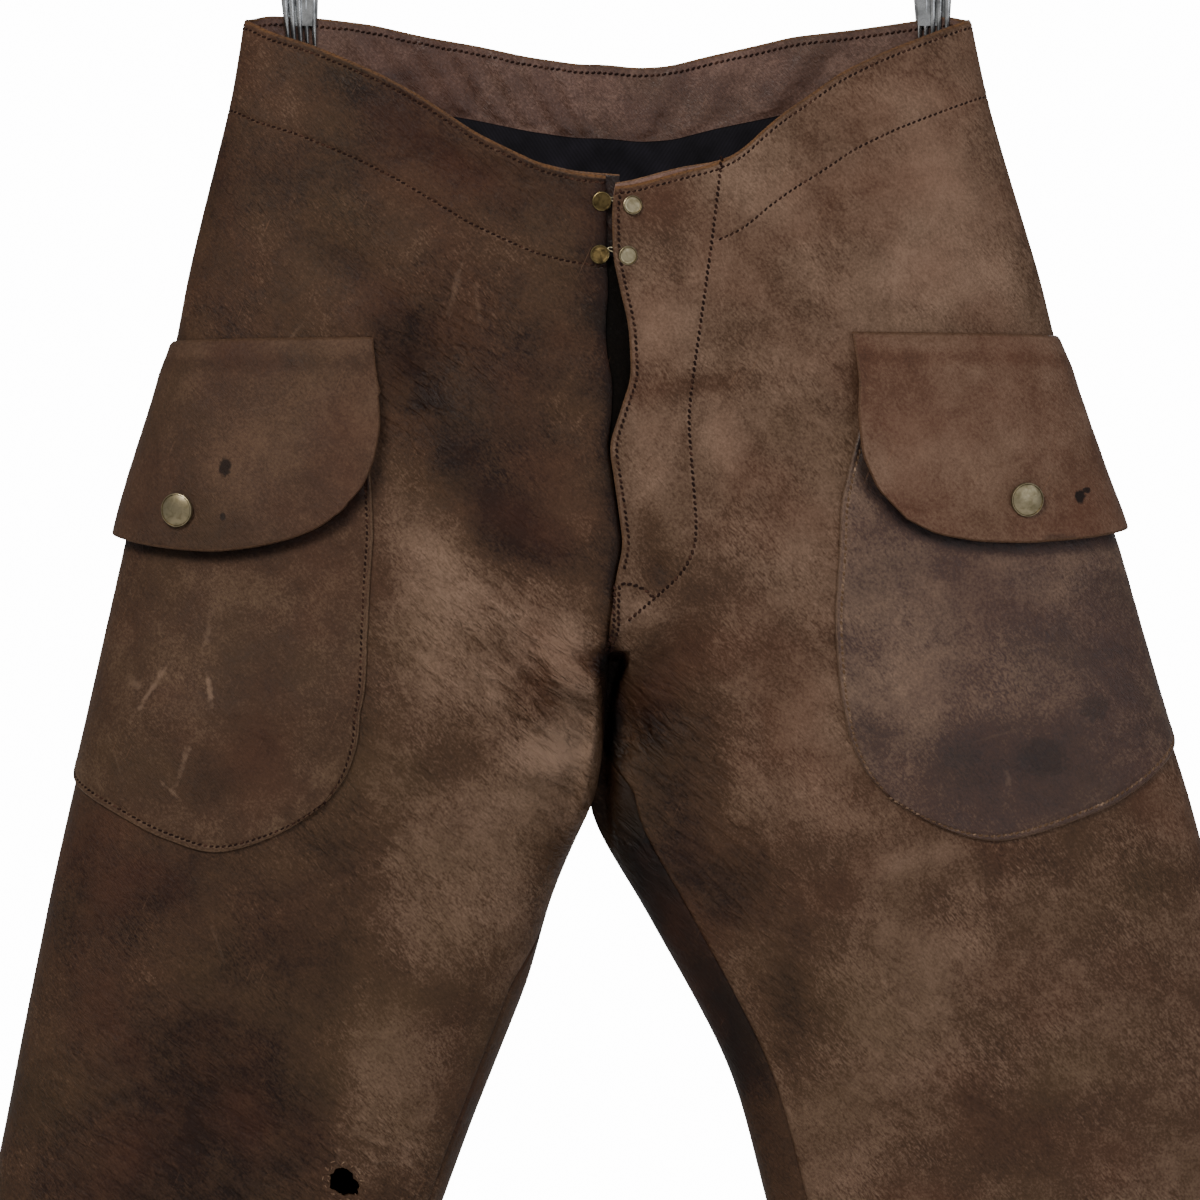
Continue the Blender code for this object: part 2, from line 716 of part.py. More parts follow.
def clip(side, waist, material):
    """Spring clip: a block on the bar, and prongs in front of and behind the back of the waist."""
    x = CLIP_X[side]
    lean = CLIP_LEAN[side]
    bpy.ops.mesh.primitive_cube_add(
        size=0.001, location=(0.001 * x, -0.003, 0.001 * (BAR_Z - CLIP_DROP)))
    block = bpy.context.object
    block.name = "clip_" + side
    block.data.name = "clip_" + side
    block.scale = (CLIP_WIDTH, CLIP_DEPTH, CLIP_HEIGHT)
    bpy.ops.object.transform_apply(location=False, rotation=False, scale=True)
    block.data.materials.append(material)
    bpy.context.collection.objects.unlink(block)
    collection.objects.link(block)
    bpy.ops.mesh.primitive_cylinder_add(
        vertices=24, radius=0.001 * (BAR_RADIUS + SEAM_GAP), depth=0.06,
        location=(0.001 * x, 0.0, 0.001 * BAR_Z), rotation=(0.0, 0.5 * math.pi, 0.0))
    hole = bpy.context.object
    bpy.context.collection.objects.unlink(hole)
    cutters.objects.link(hole)
    hole.hide_render = True
    hole.display_type = "WIRE"
    cut = block.modifiers.new("bar_hole", "BOOLEAN")
    cut.operation = "DIFFERENCE"
    cut.object = hole
    for index, spread in enumerate(PRONG_SPREADS):
        root_x = x + PRONG_ROOT_REACH * spread
        tip_x = x + PRONG_TIP_REACH * spread + lean
        for face, start_y, way in (("front", SEAM_PLANE_Y, 1.0), ("back", 60.0, -1.0)):
            root_z = BAR_Z - CLIP_DROP - 0.5 * CLIP_HEIGHT + LEATHER
            edge_part = (PRONG_TIP_Z - WAIST_SIDE_Z) / (PRONG_TIP_Z - root_z)
            edge_x = tip_x + (root_x - tip_x) * edge_part
            hits = []
            for ray_x, ray_z in ((tip_x, PRONG_TIP_Z), (edge_x, WAIST_SIDE_Z)):
                origin = 0.001 * Vector((ray_x, start_y, ray_z))
                place, normal, _, _ = waist.ray_cast(origin, Vector((0.0, way, 0.0)), 0.2)
                clear = (1.5 * PRONG_RADIUS + 2.0 * SEAM_GAP) / abs(normal.y)
                hits.append(1000.0 * place.y - way * clear)
            tip = Vector((tip_x, hits[0], PRONG_TIP_Z))
            lean_back = way * (hits[0] - hits[1]) / edge_part
            root = Vector((root_x, tip.y - way * max(lean_back, CLIP_SPREAD), root_z))
            prong = cone_between(tip, root, PRONG_RADIUS, 2.0 * PRONG_RADIUS, material)
            join = block.modifiers.new("prong_" + face + str(index), "BOOLEAN")
            join.operation = "UNION"
            join.object = prong
    return block


def make_material(name, hex_colour, roughness, metallic):
    """Principled material from an sRGB colour."""
    material = bpy.data.materials.new(name)
    material.use_nodes = True
    shader = material.node_tree.nodes["Principled BSDF"]
    channels = []
    for start in (0, 2, 4):
        value = int(hex_colour[start:start + 2], 16) / 255.0
        channels.append(value / 12.92 if value <= 0.04045 else ((value + 0.055) / 1.055) ** 2.4)
    shader.inputs["Base Color"].default_value = (*channels, 1.0)
    shader.inputs["Roughness"].default_value = roughness
    shader.inputs["Metallic"].default_value = metallic
    material.diffuse_color = (*channels, 1.0)
    return material


def cut_hole(panel):
    """Cut the worn hole through a leg panel."""
    bpy.ops.mesh.primitive_cylinder_add(
        vertices=10, radius=0.0005, depth=0.06,
        location=(0.001 * HOLE["x"], 0.001 * (SEAM_PLANE_Y - 45.0), 0.001 * HOLE["z"]),
        rotation=(0.5 * math.pi, 0.0, 0.0))
    cutter = bpy.context.object
    cutter.name = "hole_cutter"
    cutter.scale = (HOLE["width"], HOLE["height"], 1.0)
    cutter.rotation_euler = (0.5 * math.pi, HOLE["tilt"], 0.0)
    bpy.context.collection.objects.unlink(cutter)
    cutters.objects.link(cutter)
    cutter.hide_render = True
    cutter.display_type = "WIRE"
    cut = panel.modifiers.new("worn_hole", "BOOLEAN")
    cut.operation = "DIFFERENCE"
    cut.object = cutter


def build():
    leather = make_material("oiled_leather", "5c4636", 0.62, 0.0)
    pocket_leather = make_material("pocket_leather", "57412f", 0.6, 0.0)
    facing_leather = make_material("facing_leather", "4e382a", 0.5, 0.0)
    lining_cloth = make_material("lining_cloth", "17151a", 0.9, 0.0)
    brass = make_material("antique_brass", "8a7a52", 0.35, 1.0)
    steel = make_material("clip_steel", "a9abac", 0.28, 1.0)

    grids = {}
    walls = []
    for side in ("right", "left"):
        for face in ("front", "back"):
            grid = body_grid(side, face)
            grids[side, face] = grid
            outward = natural_outward(side, face)
            walls.append(wall_object(f"{face}_{side}", grid, outward, -LEATHER, 0.0, leather))
            inside = -LEATHER - SEAM_GAP
            facing = strip_below(grid, 0.0, FACING_DEPTH[side])
            walls.append(wall_object(
                f"facing_{face}_{side}", facing, outward, inside - FACING, inside,
                facing_leather))
            if face == "back":
                start = FACING_DEPTH[side] + SEAM_GAP
                lining = strip_below(grid, start, LINING_DEPTH)
                wall_object(
                    f"lining_back_{side}", lining, outward, inside - LINING, inside, lining_cloth)
    for item in walls:
        if item.name == "front_right":
            cut_hole(item)

    fly_underlap(facing_leather)
    for side in ("right", "left"):
        overlay(
            f"pocket_{side}", side, grids, POCKETS[side], (), lambda z: 0.0, pocket_leather)
        high = rows(FLAPS[side])[0]["z"]

        def lift(z):
            over_mouth = min(max((high - z) / MOUTH_DROP, 0.0), 1.0) * (LEATHER + SEAM_GAP)
            return over_mouth + FLAP_LIFT * smooth((high - z) / 110.0)

        flap = overlay(
            f"pocket_flap_{side}", side, grids, FLAPS[side], (high - MOUTH_DROP,), lift,
            pocket_leather)
        snap_x, snap_z = SNAP_PLACE[side]
        place, normal = front_hit(carrier([flap]), snap_x, snap_z)
        turned_cap(
            "snap_" + side, SNAP_RADIUS, SNAP_HEIGHT, place + normal * CAP_SEAT, normal, 24,
            brass)
    fronts = carrier([item for item in walls if item.name in ("front_right", "front_left")])
    for cap in rows(CAPS):
        place, normal = front_hit(fronts, cap["x"], cap["z"])
        turned_cap(
            cap["name"], CAP_RADIUS, CAP_HEIGHT, place + normal * CAP_SEAT, normal, 16, brass)
    hanger(steel)
    for side in ("right", "left"):
        names = (f"back_{side}", f"facing_back_{side}")
        clip(side, carrier([item for item in walls if item.name in names]), steel)


for existing in list(bpy.data.objects):
    bpy.data.objects.remove(existing, do_unlink=True)
collection = bpy.data.collections.new("leather_trousers")
cutters = bpy.data.collections.new("cutters")
bpy.context.scene.collection.children.link(collection)
bpy.context.scene.collection.children.link(cutters)
build()
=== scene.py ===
import math

import bmesh
import bpy
import numpy as np
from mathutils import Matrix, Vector


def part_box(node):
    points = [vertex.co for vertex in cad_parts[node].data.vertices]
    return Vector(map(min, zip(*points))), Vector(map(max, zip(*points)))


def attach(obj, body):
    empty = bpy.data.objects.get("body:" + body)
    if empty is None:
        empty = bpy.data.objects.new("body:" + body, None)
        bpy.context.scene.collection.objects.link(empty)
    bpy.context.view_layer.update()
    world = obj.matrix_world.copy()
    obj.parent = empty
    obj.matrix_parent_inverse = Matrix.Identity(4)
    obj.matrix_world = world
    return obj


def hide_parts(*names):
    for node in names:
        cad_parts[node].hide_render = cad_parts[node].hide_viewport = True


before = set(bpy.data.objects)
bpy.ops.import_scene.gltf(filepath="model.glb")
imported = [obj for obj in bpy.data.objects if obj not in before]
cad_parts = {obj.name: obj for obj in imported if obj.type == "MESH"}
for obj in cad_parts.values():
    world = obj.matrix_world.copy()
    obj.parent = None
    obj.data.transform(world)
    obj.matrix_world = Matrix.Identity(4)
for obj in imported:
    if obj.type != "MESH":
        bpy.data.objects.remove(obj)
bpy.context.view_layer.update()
bpy.ops.object.select_all(action='DESELECT')
mm = 0.001
print("trousers: frame loaded, nodes:", len(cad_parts))

# The form that every cut piece lies on, in millimetres from the hook, as seen from the front.
# Minus x is the wearer's right. Rows run down from the waist.
body = {
    "seamPlane": -17.0,
    "crotch": -535.0,
    "forkRise": 58.0,
    "inseamTurn": {"right": 0.34, "left": 0.56},
    "inseamStart": {"right": 105.0, "left": 0.0},
    "bandDepth": {"right": 50.0, "left": 43.0},
    "hem": -1240.0,
    "level": -322.0,        # rows of the panels lie level from here down
    "flyEnd": -504.0,       # the fronts part from each other above here
    # powers that shape the sections: how flat the hips and the legs are, and how fast one turns
    # into the other at the fork
    "hipPower": (2.6, 0.55), "legPower": 0.82, "forkPower": 1.6,
    # z, outer edge on the right, outer edge on the left
    "sides": (
        (-150, -195.0, 203.0), (-200, -203.0, 213.4), (-233, -211.2, 222.8),
        (-266, -219.5, 232.7), (-299, -227.2, 242.6), (-327, -232.1, 249.2),
        (-365, -240.4, 259.1), (-409, -250.8, 270.6), (-448, -259.6, 283.8),
        (-497, -270.6, 297.6), (-541, -280.0, 310.2), (-580, -289.3, 322.9),
        (-629, -300.3, 336.1), (-673, -309.1, 348.7), (-717, -317.9, 360.8),
        (-761, -326.2, 371.2), (-805, -335.5, 380.0), (-915, -360.0, 403.0),
        (-1025, -383.0, 424.0), (-1135, -404.0, 442.0), (-1240, -422.0, 456.0),
    ),
    # z, centre seam and then inner edge of the leg, right and left
    "inners": (
        (-150, 0.5, 0.5), (-240, 2.0, 2.0), (-440, 5.0, 5.0), (-464, 6.0, 6.0),
        (-500, 4.5, 4.5), (-535, 3.4, 0.4), (-560, 1.6, -2.6), (-585, -2.6, -7.4),
        (-600, -10.5, -2.0), (-618, -18.7, 8.2), (-640, -27.5, 22.0), (-662, -33.5, 34.1),
        (-684, -39.6, 46.8), (-717, -52.8, 64.4), (-739, -61.6, 73.7), (-761, -70.4, 80.3),
        (-805, -86.4, 91.3), (-915, -128.0, 121.0), (-1025, -165.0, 153.0),
        (-1135, -197.0, 186.0), (-1240, -224.0, 217.0),
    ),
    # z, how far the cloth stands from the seam plane: front right and left, back right and left
    "depths": (
        (-150, 30.0, 30.0, 33.0, 33.0), (-230, 34.0, 34.0, 38.0, 38.0),
        (-330, 43.0, 42.0, 48.0, 46.0), (-430, 50.0, 46.0, 56.0, 50.0),
        (-535, 56.0, 45.0, 60.0, 50.0), (-640, 56.0, 40.0, 58.0, 44.0),
        (-760, 51.0, 36.0, 53.0, 39.0), (-915, 44.0, 31.0, 46.0, 33.0),
        (-1080, 38.0, 27.0, 40.0, 29.0), (-1240, 35.0, 25.0, 37.0, 27.0),
    ),
    # x, z of the waist's top edge
    "frontTop": (
        (-195, -156), (-181, -164), (-157, -172), (-141, -179), (-121, -188), (-101, -199),
        (-84, -210), (-68, -221), (-50, -230), (-33, -238), (-14, -243), (3, -245),
        (4, -252), (14, -251), (29, -247), (47, -242), (63, -238), (77, -231),
        (88, -220), (100, -210), (116, -199), (131, -188), (155, -176), (179, -166),
        (194, -160), (203, -156),
    ),
    "backTop": (
        (-195, -156), (-186, -152), (-157, -152), (-126, -155), (-98, -161), (-68, -166),
        (-40, -172), (-12, -176), (3, -176), (20, -178), (38, -177), (62, -171),
        (86, -166), (108, -161), (140, -158), (175, -154), (194, -152), (203, -156),
    ),
    # z, edge of the right front, free edge of the left front
    "fly": (
        (-240, 3.0, 10.5), (-262, 3.0, 6.5), (-290, 3.5, 7.0), (-308, 4.5, 11.0),
        (-326, 2.8, 15.5), (-344, 3.8, 16.5), (-356, 7.0, 16.5), (-378, 6.0, 9.5),
        (-392, 4.2, 4.8), (-416, 7.9, 8.5), (-446, 11.9, 12.5), (-464, 7.9, 8.5),
        (-500, 4.5, 4.5),
    ),
}

# Swells and troughs of the hung leather by face, in millimetres: x and z of both ends, sideways
# bend at the middle, half width, rise. A minus rise goes in. Each has a low lip along one flank.
creases = {
    "front": (
        (-70, -330, -112, -372, 0, 24, -7), (-112, -372, -100, -430, 6, 20, -5),
        (58, -492, 30, -528, 3, 18, -6), (-10, -500, -48, -560, -4, 16, 4),
        (56, -550, 76, -640, 8, 24, -7), (24, -530, 30, -600, 0, 16, -5),
        (-236, -700, -190, -765, 6, 26, -5), (-60, -640, -120, -720, -8, 24, 3.5),
        (-36, -506, -31, -526, 2, 6, -5), (-30, -526, -4, -541, -4, 6, -6),
        (-44, -524, -20, -550, 3, 6, 3.4), (-24, -500, -4, -516, 2, 5, -3.4),
        (-20, -516, -2, -528, 2, 5, 2.6), (-12, -507, 3, -509, 0, 4, -5),
        (-52, -534, -30, -558, 3, 6, -3.2), (-14, -556, -2, -551, 0, 4.5, -2.6),
        (-26, -575, -6, -582, 1, 5, -2.8), (-46, -566, -14, -567, 2, 9, 3.4),
        (-74, -486, -48, -512, 3, 8, -2.4), (-84, -520, -58, -548, -3, 9, 2.2),
        (-110, -468, -84, -500, 3, 9, -2), (-66, -560, -96, -580, 4, 10, -2),
        (8, -512, 13, -552, 0, 10, -11), (22, -356, 76, -362, 3, 9, -3),
        (26, -451, 35, -464, 0, 7, -3), (20, -388, 48, -406, 0, 8, 1.6),
        (66, -386, 76, -412, 0, 9, 2.2), (34, -300, 44, -345, 0, 16, 2.4),
        (30, -407, 46, -440, 0, 12, 2.4), (52, -482, 18, -524, -3, 8, -3),
        (-24, -300, -8, -318, 0, 7, -1.6), (-26, -336, -10, -344, 0, 7, -1.6),
        (-30, -372, -8, -384, 0, 8, -1.8), (-150, -285, -104, -322, -4, 13, -3),
        (-32, -268, -86, -238, 3, 12, -2.4), (-46, -640, -32, -648, 1, 4, -2),
        (92, -520, 96, -580, 3, 9, -2), (125, -254, 122, -276, 2, 8, -2.2),
        (160, -640, 250, -720, 10, 30, -4), (-190, -850, -280, -930, 8, 30, -6),
        (-300, -1030, -220, -1090, 6, 28, 4), (190, -880, 300, -950, -9, 32, -5),
        (230, -1060, 330, -1110, 6, 28, 3.5),
    ),
    "back": (
        (-60, -250, -140, -300, 7, 30, -5), (70, -245, 150, -300, -6, 30, -4.5),
        (-20, -430, -110, -500, 8, 26, 5), (24, -440, 100, -505, -8, 26, 4.5),
        (-60, -545, -190, -590, 9, 24, -7), (40, -550, 190, -600, -9, 24, -6),
        (-110, -700, -230, -760, 8, 30, -6), (130, -720, 260, -770, -8, 30, -5),
        (-180, -880, -290, -930, 7, 28, -8), (170, -900, 300, -950, -8, 28, -7),
        (-230, -1060, -320, -1100, 6, 28, 4), (220, -1080, 330, -1120, -6, 28, 3.5),
    ),
}

sides = ("right", "left")
sideColumn = {"right": 1, "left": 2}
depthColumn = {
    ("front", "right"): 1, ("front", "left"): 2, ("back", "right"): 3, ("back", "left"): 4}


# words run together into one name: the first as it is, the others with a capital
def named(first, *rest):
    return first + "".join(word.capitalize() for word in rest)


# from 0 to 1 with a soft start and end
def ease(part):
    part = np.clip(part, 0, 1)
    return part * part * (3 - 2 * part)


# 1 at no distance, fading to nothing beyond about twice the width
def bell(off, width=1.0):
    return np.exp(-(off / width) ** 2)


# lengths of the last axis, kept as a column where they are to divide by
def lengths(vectors, keep=False):
    return np.linalg.norm(vectors, axis=-1, keepdims=keep)


# dx and dz as seen from axes turned by some degrees
def turned(dx, dz, degrees):
    turn = math.radians(degrees)
    return dx * math.cos(turn) + dz * math.sin(turn), dz * math.cos(turn) - dx * math.sin(turn)


# one column of a table at places along its first, with the corners between its rows rounded off
def readTable(table, column, at, step=8, shares=(1, 4, 6, 4, 1), limits=(-9999, 9999)):
    rows = np.array(sorted(table), float)
    total = 0
    for number, share in enumerate(shares):
        near = np.clip(at + step * (number - len(shares) // 2), *limits)
        total = total + share / sum(shares) * np.interp(near, rows[:, 0], rows[:, column])
    return total


# edge of a front along the fly; it is left nearly as sharp as it was cut
def readFly(side, z):
    return readTable(body["fly"], sideColumn[side], z, 5, (1, 1, 1))


# height of the waist's top edge, which steps where the left side laps over the right
def topHeight(side, face, x):
    limits = (-9999, 3) if side == "right" else (4, 9999)
    return readTable(body[face + "Top"], 1, x, 4, limits=limits)


# x of a side's outer edge, and of its centre seam or inner edge, at a height
def edgesAt(side, z):
    return [readTable(body[edge], sideColumn[side], z) for edge in ("sides", "inners")]


# two arrays of one shape
def paired(first, second):
    return np.broadcast_arrays(np.asarray(first, float), np.asarray(second, float))


# slow unevenness that no hung leather is without
def ripple(x, z, seed):
    dice = np.random.RandomState(seed)
    total = 0
    for wave in range(16):
        length = dice.uniform(28, 150)
        angle = dice.uniform(0, math.pi)
        phase = dice.uniform(0, 2 * math.pi)
        turn = 2 * math.pi / length
        total = total + length / 150 * np.sin(
            turn * (x * math.cos(angle) + z * math.sin(angle)) + phase)
    return 0.22 * total


def creaseRise(face, x, z):
    total = ripple(x, z, 11 if face == "front" else 12)
    for x0, z0, x1, z1, bend, width, rise in creases[face]:
        dx, dz = x1 - x0, z1 - z0
        length = math.hypot(dx, dz)
        along = ((x - x0) * dx + (z - z0) * dz) / length ** 2
        held = np.clip(along, 0, 1)
        past = (along - held) * length / width
        off = ((x - x0) * dz - (z - z0) * dx) / length - bend * 4 * held * (1 - held)
        off = off / width
        fade = bell(past) * (0.45 + 0.55 * np.sin(math.pi * held) ** 0.7)
        total = total + rise * fade * (bell(off) - 0.3 * bell(off - 1.8, 0.9))
    return total


# How the thighs meet below the crotch: the left one sinks behind the right one, which swells and
# rolls over it. Each runs between two heights, given with the length over which it starts or ends.
thighs = {
    # z, and how far from the centre the left thigh's hollow reaches
    "hollow": ((-503, 17.0), (-512, 16.5), (-526, 11.5), (-544, 9.5), (-575, 9.5), (-600, 10.0),
               (-640, 14.0)),
    "hollowDepth": 32.0,
    "fullDepth": 36.0,              # where the leg is shallower, it sinks less
    "hollowEdge": 6.0,
    "hollowShadow": (3.4, 1.5),     # how much darker it is, and how far that reaches past it
    "hollowSpan": (-501, 6, -650, 60),
    "fall": (0.45, 15.0),           # share of that depth, and width beside the seam
    "fallSpan": (-498, 22, -640, 60),
    # rise, place beside the seam, width
    "swell": (4.0, -12.0, 14.0),
    "swellSpan": (-500, 16, -600, 40),
    "roll": (20.0, -4.0, 5.0),
    "rollSpan": (-503, 10, -610, 40),
}


# 1 between two heights and 0 outside them
def span(z, top, start, bottom, end):
    return ease((top - z) / start) * ease((z - bottom) / end)


# how far the left thigh has sunk beside the crotch
def crotchHollow(x, z):
    rows = np.array(thighs["hollow"][::-1], float)
    reach = np.interp(z, rows[:, 0], rows[:, 1])
    return ease((reach - x) / thighs["hollowEdge"]) * span(z, *thighs["hollowSpan"])


# Point of the outer surface. turn is 0 at the side seam and pi at the inner edge by way of the
# front, or minus pi there by way of the back.
def formPoint(side, turn, z):
    turn, z = paired(turn, z)
    front = turn >= 0
    outer, inner = edgesAt(side, z)
    x = 0.5 * (outer + inner) + 0.5 * (outer - inner) * np.cos(turn)
    deep = {key: readTable(body["depths"], column, z) for key, column in depthColumn.items()}
    depth = np.where(front, deep["front", side], deep["back", side])
    shared = np.where(
        front, 0.5 * (deep["front", "right"] + deep["front", "left"]),
        0.5 * (deep["back", "right"] + deep["back", "left"]))
    bow = np.abs(np.sin(turn))
    across = np.clip(np.abs((x - inner) / (outer - inner)), 0, 1)
    flat, full = body["hipPower"]
    hip = (shared + (depth - shared) * ease(across)) * (1 - across ** flat) ** full
    fork = np.clip((body["crotch"] + body["forkRise"] - z) / body["forkRise"], 0, 1)
    fork = fork ** body["forkPower"]
    out = hip + (depth * bow ** body["legPower"] - hip) * fork
    fade = ease(bow * 1.6 + (1 - fork) * (1 - across))
    rise = np.where(front, creaseRise("front", x, z), creaseRise("back", x, z))
    out = out + rise * fade
    if side == "left":
        share, width = thighs["fall"]
        fall = share * bell(x - inner, width) * span(z, *thighs["fallSpan"])
        fall = np.maximum(fall, crotchHollow(x, z)) * np.minimum(1, out / thighs["fullDepth"])
        out = np.where(front, out - thighs["hollowDepth"] * fall, out)
    else:
        for kind in ("swell", "roll"):
            rise, place, width = thighs[kind]
            rise = rise * bell(x - inner - place, width) * span(z, *thighs[kind + "Span"])
            out = np.where(front, out + rise * bow ** 0.5, out)
    y = np.where(front, body["seamPlane"] - out, body["seamPlane"] + out)
    return np.stack([x, y, z], -1)


def turnAt(side, z, x):
    outer, inner = edgesAt(side, z)
    return np.arccos(np.clip((x - 0.5 * (outer + inner)) / (0.5 * (outer - inner)), -1, 1))


# point of the front or the back at a place (x, z) above the crotch, on whichever side x lies
def facePoint(face, x, z):
    x, z = paired(x, z)
    way = 1 if face == "front" else -1
    onRight = x < edgesAt("right", z)[1]
    right, left = (formPoint(side, way * turnAt(side, z, x), z) for side in sides)
    return np.where(onRight[..., None], right, left)


# point of a panel at a part of its way from the side seam to its inner edge
def panelPoint(side, face, part, z):
    part, z = paired(part, z)
    outer, edge = edgesAt(side, z)
    if face == "front":
        edge = np.where(z > body["flyEnd"], readFly(side, z), edge)
    x = 0.5 * (outer + edge) + 0.5 * (outer - edge) * np.cos(math.pi * part)
    shift = body["inseamTurn"][side] * ease((body["crotch"] - body["inseamStart"][side] - z) / 50)
    turn = part * (math.pi - shift) if face == "front" else -part * (math.pi + shift)
    turn = np.where(turn < -math.pi, turn + 2 * math.pi, turn)
    hips = facePoint(face, x, z)
    legs = formPoint(side, turn, z)
    return np.where((z > body["crotch"])[..., None], hips, legs)


# places along a length, close together at both ends where an edge is rounded
def spread(total, step, fine=(0.0, 0.6, 1.4, 2.4, 3.0, 3.4, 3.8, 4.6)):
    count = max(2, round((total - 2 * fine[-1]) / step))
    middle = np.linspace(fine[-1], total - fine[-1], count + 1)
    return np.concatenate([fine[:-1], middle, total - np.array(fine[:-1])[::-1]])


# places from start to end, with more of them beside each sewn line
def besides(start, end, step, lines):
    extra = {start}
    for line in (start, *lines):
        extra.update(line + off for off in (-1.8, -0.9, -0.4, 0.0, 0.4, 0.9, 1.8))
    extra = sorted(place for place in extra if start <= place <= end)
    plain = np.linspace(start, end, max(3, round((end - start) / step)))
    plain = [place for place in plain if min(abs(place - other) for other in extra) > 0.7]
    return np.array(sorted(extra + plain))


# outward normals of a grid of points; the middle one shows which way out is
def gridNormals(points, outward):
    normal = np.cross(np.gradient(points, axis=1), np.gradient(points, axis=0))
    normal /= np.maximum(lengths(normal, True), 1e-9)
    middle = normal[normal.shape[0] // 2, normal.shape[1] // 2]
    return normal if np.dot(middle, outward) > 0 else -normal


# A sheet of cloth with its real thickness on a grid of outer points. rims says for each side of the
# grid how far in it is rounded, how deep, and how raw the cut is. furrows are the sewn lines: the
# side that they run along, how far in, how deep the thread pulls the leather, and where it does.
# hole is a torn place cut right through.
def clothPiece(name, node, points, normals, thickness, material, rims,
               tones, furrows=(), hole=None):
    shape = points.shape[:2]
    count = shape[0] * shape[1]
    u, v = np.zeros(shape), np.zeros(shape)
    u[:, 1:] = np.cumsum(lengths(np.diff(points, axis=1)), axis=1)
    v[1:] = np.cumsum(lengths(np.diff(points, axis=0)), axis=0)
    reach = {"first": u, "last": u[:, -1:] - u, "top": v, "bottom": v[-1:] - v}
    drop, raw, sewn = np.zeros(shape), np.zeros(shape), np.zeros(shape)
    for side, (roll, depth, rawness) in rims.items():
        near = np.clip(1 - reach[side] / roll, 0, 1)
        drop = np.maximum(drop, depth * near ** 2)
        raw = np.maximum(raw, rawness * np.minimum(near * 1.6, 1))
    for side, inset, depth, share in furrows:
        gap = np.abs(reach[side] - inset)
        groove = bell(gap, cloth["furrow"])
        sewn = np.maximum(sewn, share * groove)
        drop = drop + share * depth * (groove - 0.35 * bell(gap - 2.2, 1.2))
    if hole:
        points, cutOut = tornOut(points, hole)
        beside = tornReach(points, hole) - 1
        raw = np.maximum(raw, np.clip(1.0 - 4 * np.abs(beside), 0, 0.55))
        drop = drop - 0.7 * bell(beside - 0.12, 0.16)
    outer = points - normals * drop[..., None]
    inner = points - normals * (thickness + 0.2 * drop[..., None])
    verts = mm * np.vstack([outer.reshape(-1, 3), inner.reshape(-1, 3)])
    index = np.arange(count).reshape(shape)
    a, b, c, d = index[:-1, :-1], index[:-1, 1:], index[1:, 1:], index[1:, :-1]
    quads = np.stack([a, b, c, d], -1).reshape(-1, 4)
    rim = np.concatenate([index[0], index[1:, -1], index[-1, -2::-1], index[-2:0:-1, 0]])
    following = np.roll(rim, -1)
    edgeQuads = np.stack([following, rim, rim + count, following + count], -1)
    if hole:
        gone = cutOut.reshape(-1)
        lost = {(q[i], q[(i + 1) % 4]) for q in quads[gone] for i in range(4)}
        walls = [(q[(i + 1) % 4], q[i], q[i] + count, q[(i + 1) % 4] + count)
                 for q in quads[~gone] for i in range(4) if (q[(i + 1) % 4], q[i]) in lost]
        quads, edgeQuads = quads[~gone], np.vstack([edgeQuads, walls])
    faces = np.vstack([quads, quads[:, ::-1] + count, edgeQuads])
    # the faces are listed so that they point the way the normals do
    middle = quads[len(quads) // 2]
    corner = outer.reshape(-1, 3)[middle]
    way = np.cross(corner[1] - corner[0], corner[2] - corner[0])
    if np.dot(way, normals.reshape(-1, 3)[middle[0]]) < 0:
        faces = faces[:, ::-1]
    mesh = bpy.data.meshes.new(name)
    mesh.from_pydata(verts.tolist(), [], faces.tolist())
    mesh.polygons.foreach_set("use_smooth", np.ones(len(faces), bool))
    mesh.set_sharp_from_angle(angle=math.radians(50))
    uv = mesh.uv_layers.new(name="UVMap")
    place = mm * np.stack([u, -v], -1).reshape(-1, 2)
    loops = np.empty(len(mesh.loops), int)
    mesh.loops.foreach_get("vertex_index", loops)
    uv.data.foreach_set("uv", np.vstack([place, place])[loops].reshape(-1))
    # the inner face is plain, apart from its raw edges
    for key, value in {"raw": raw, "sewn": sewn, **tones}.items():
        layer = mesh.attributes.new(key, 'FLOAT', 'POINT')
        value = value.reshape(-1)
        back = value if key == "raw" else np.full(count, farOff if key == "curve" else 0.0)
        layer.data.foreach_set("value", np.concatenate([value, back]).astype(np.float32))
    piece = bpy.data.objects.new(name, mesh)
    bpy.context.scene.collection.objects.link(piece)
    mesh.materials.append(material)
    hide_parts(node)
    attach(piece, "root")
    grids[name] = {"outer": outer, "normal": normals, "reach": reach}


# how far out of a torn hole points lie, as a share of its ragged outline
def tornReach(points, hole):
    a, b = turned(points[..., 0] - hole["x"], points[..., 2] - hole["z"], hole["tilt"])
    a, b = a / hole["wide"], b / hole["tall"]
    angle = np.arctan2(b, a)
    ragged = 1 + sum(share * np.sin(lobes * angle + start)
                     for lobes, share, start in hole["ragged"])
    return np.hypot(a, b) / ragged


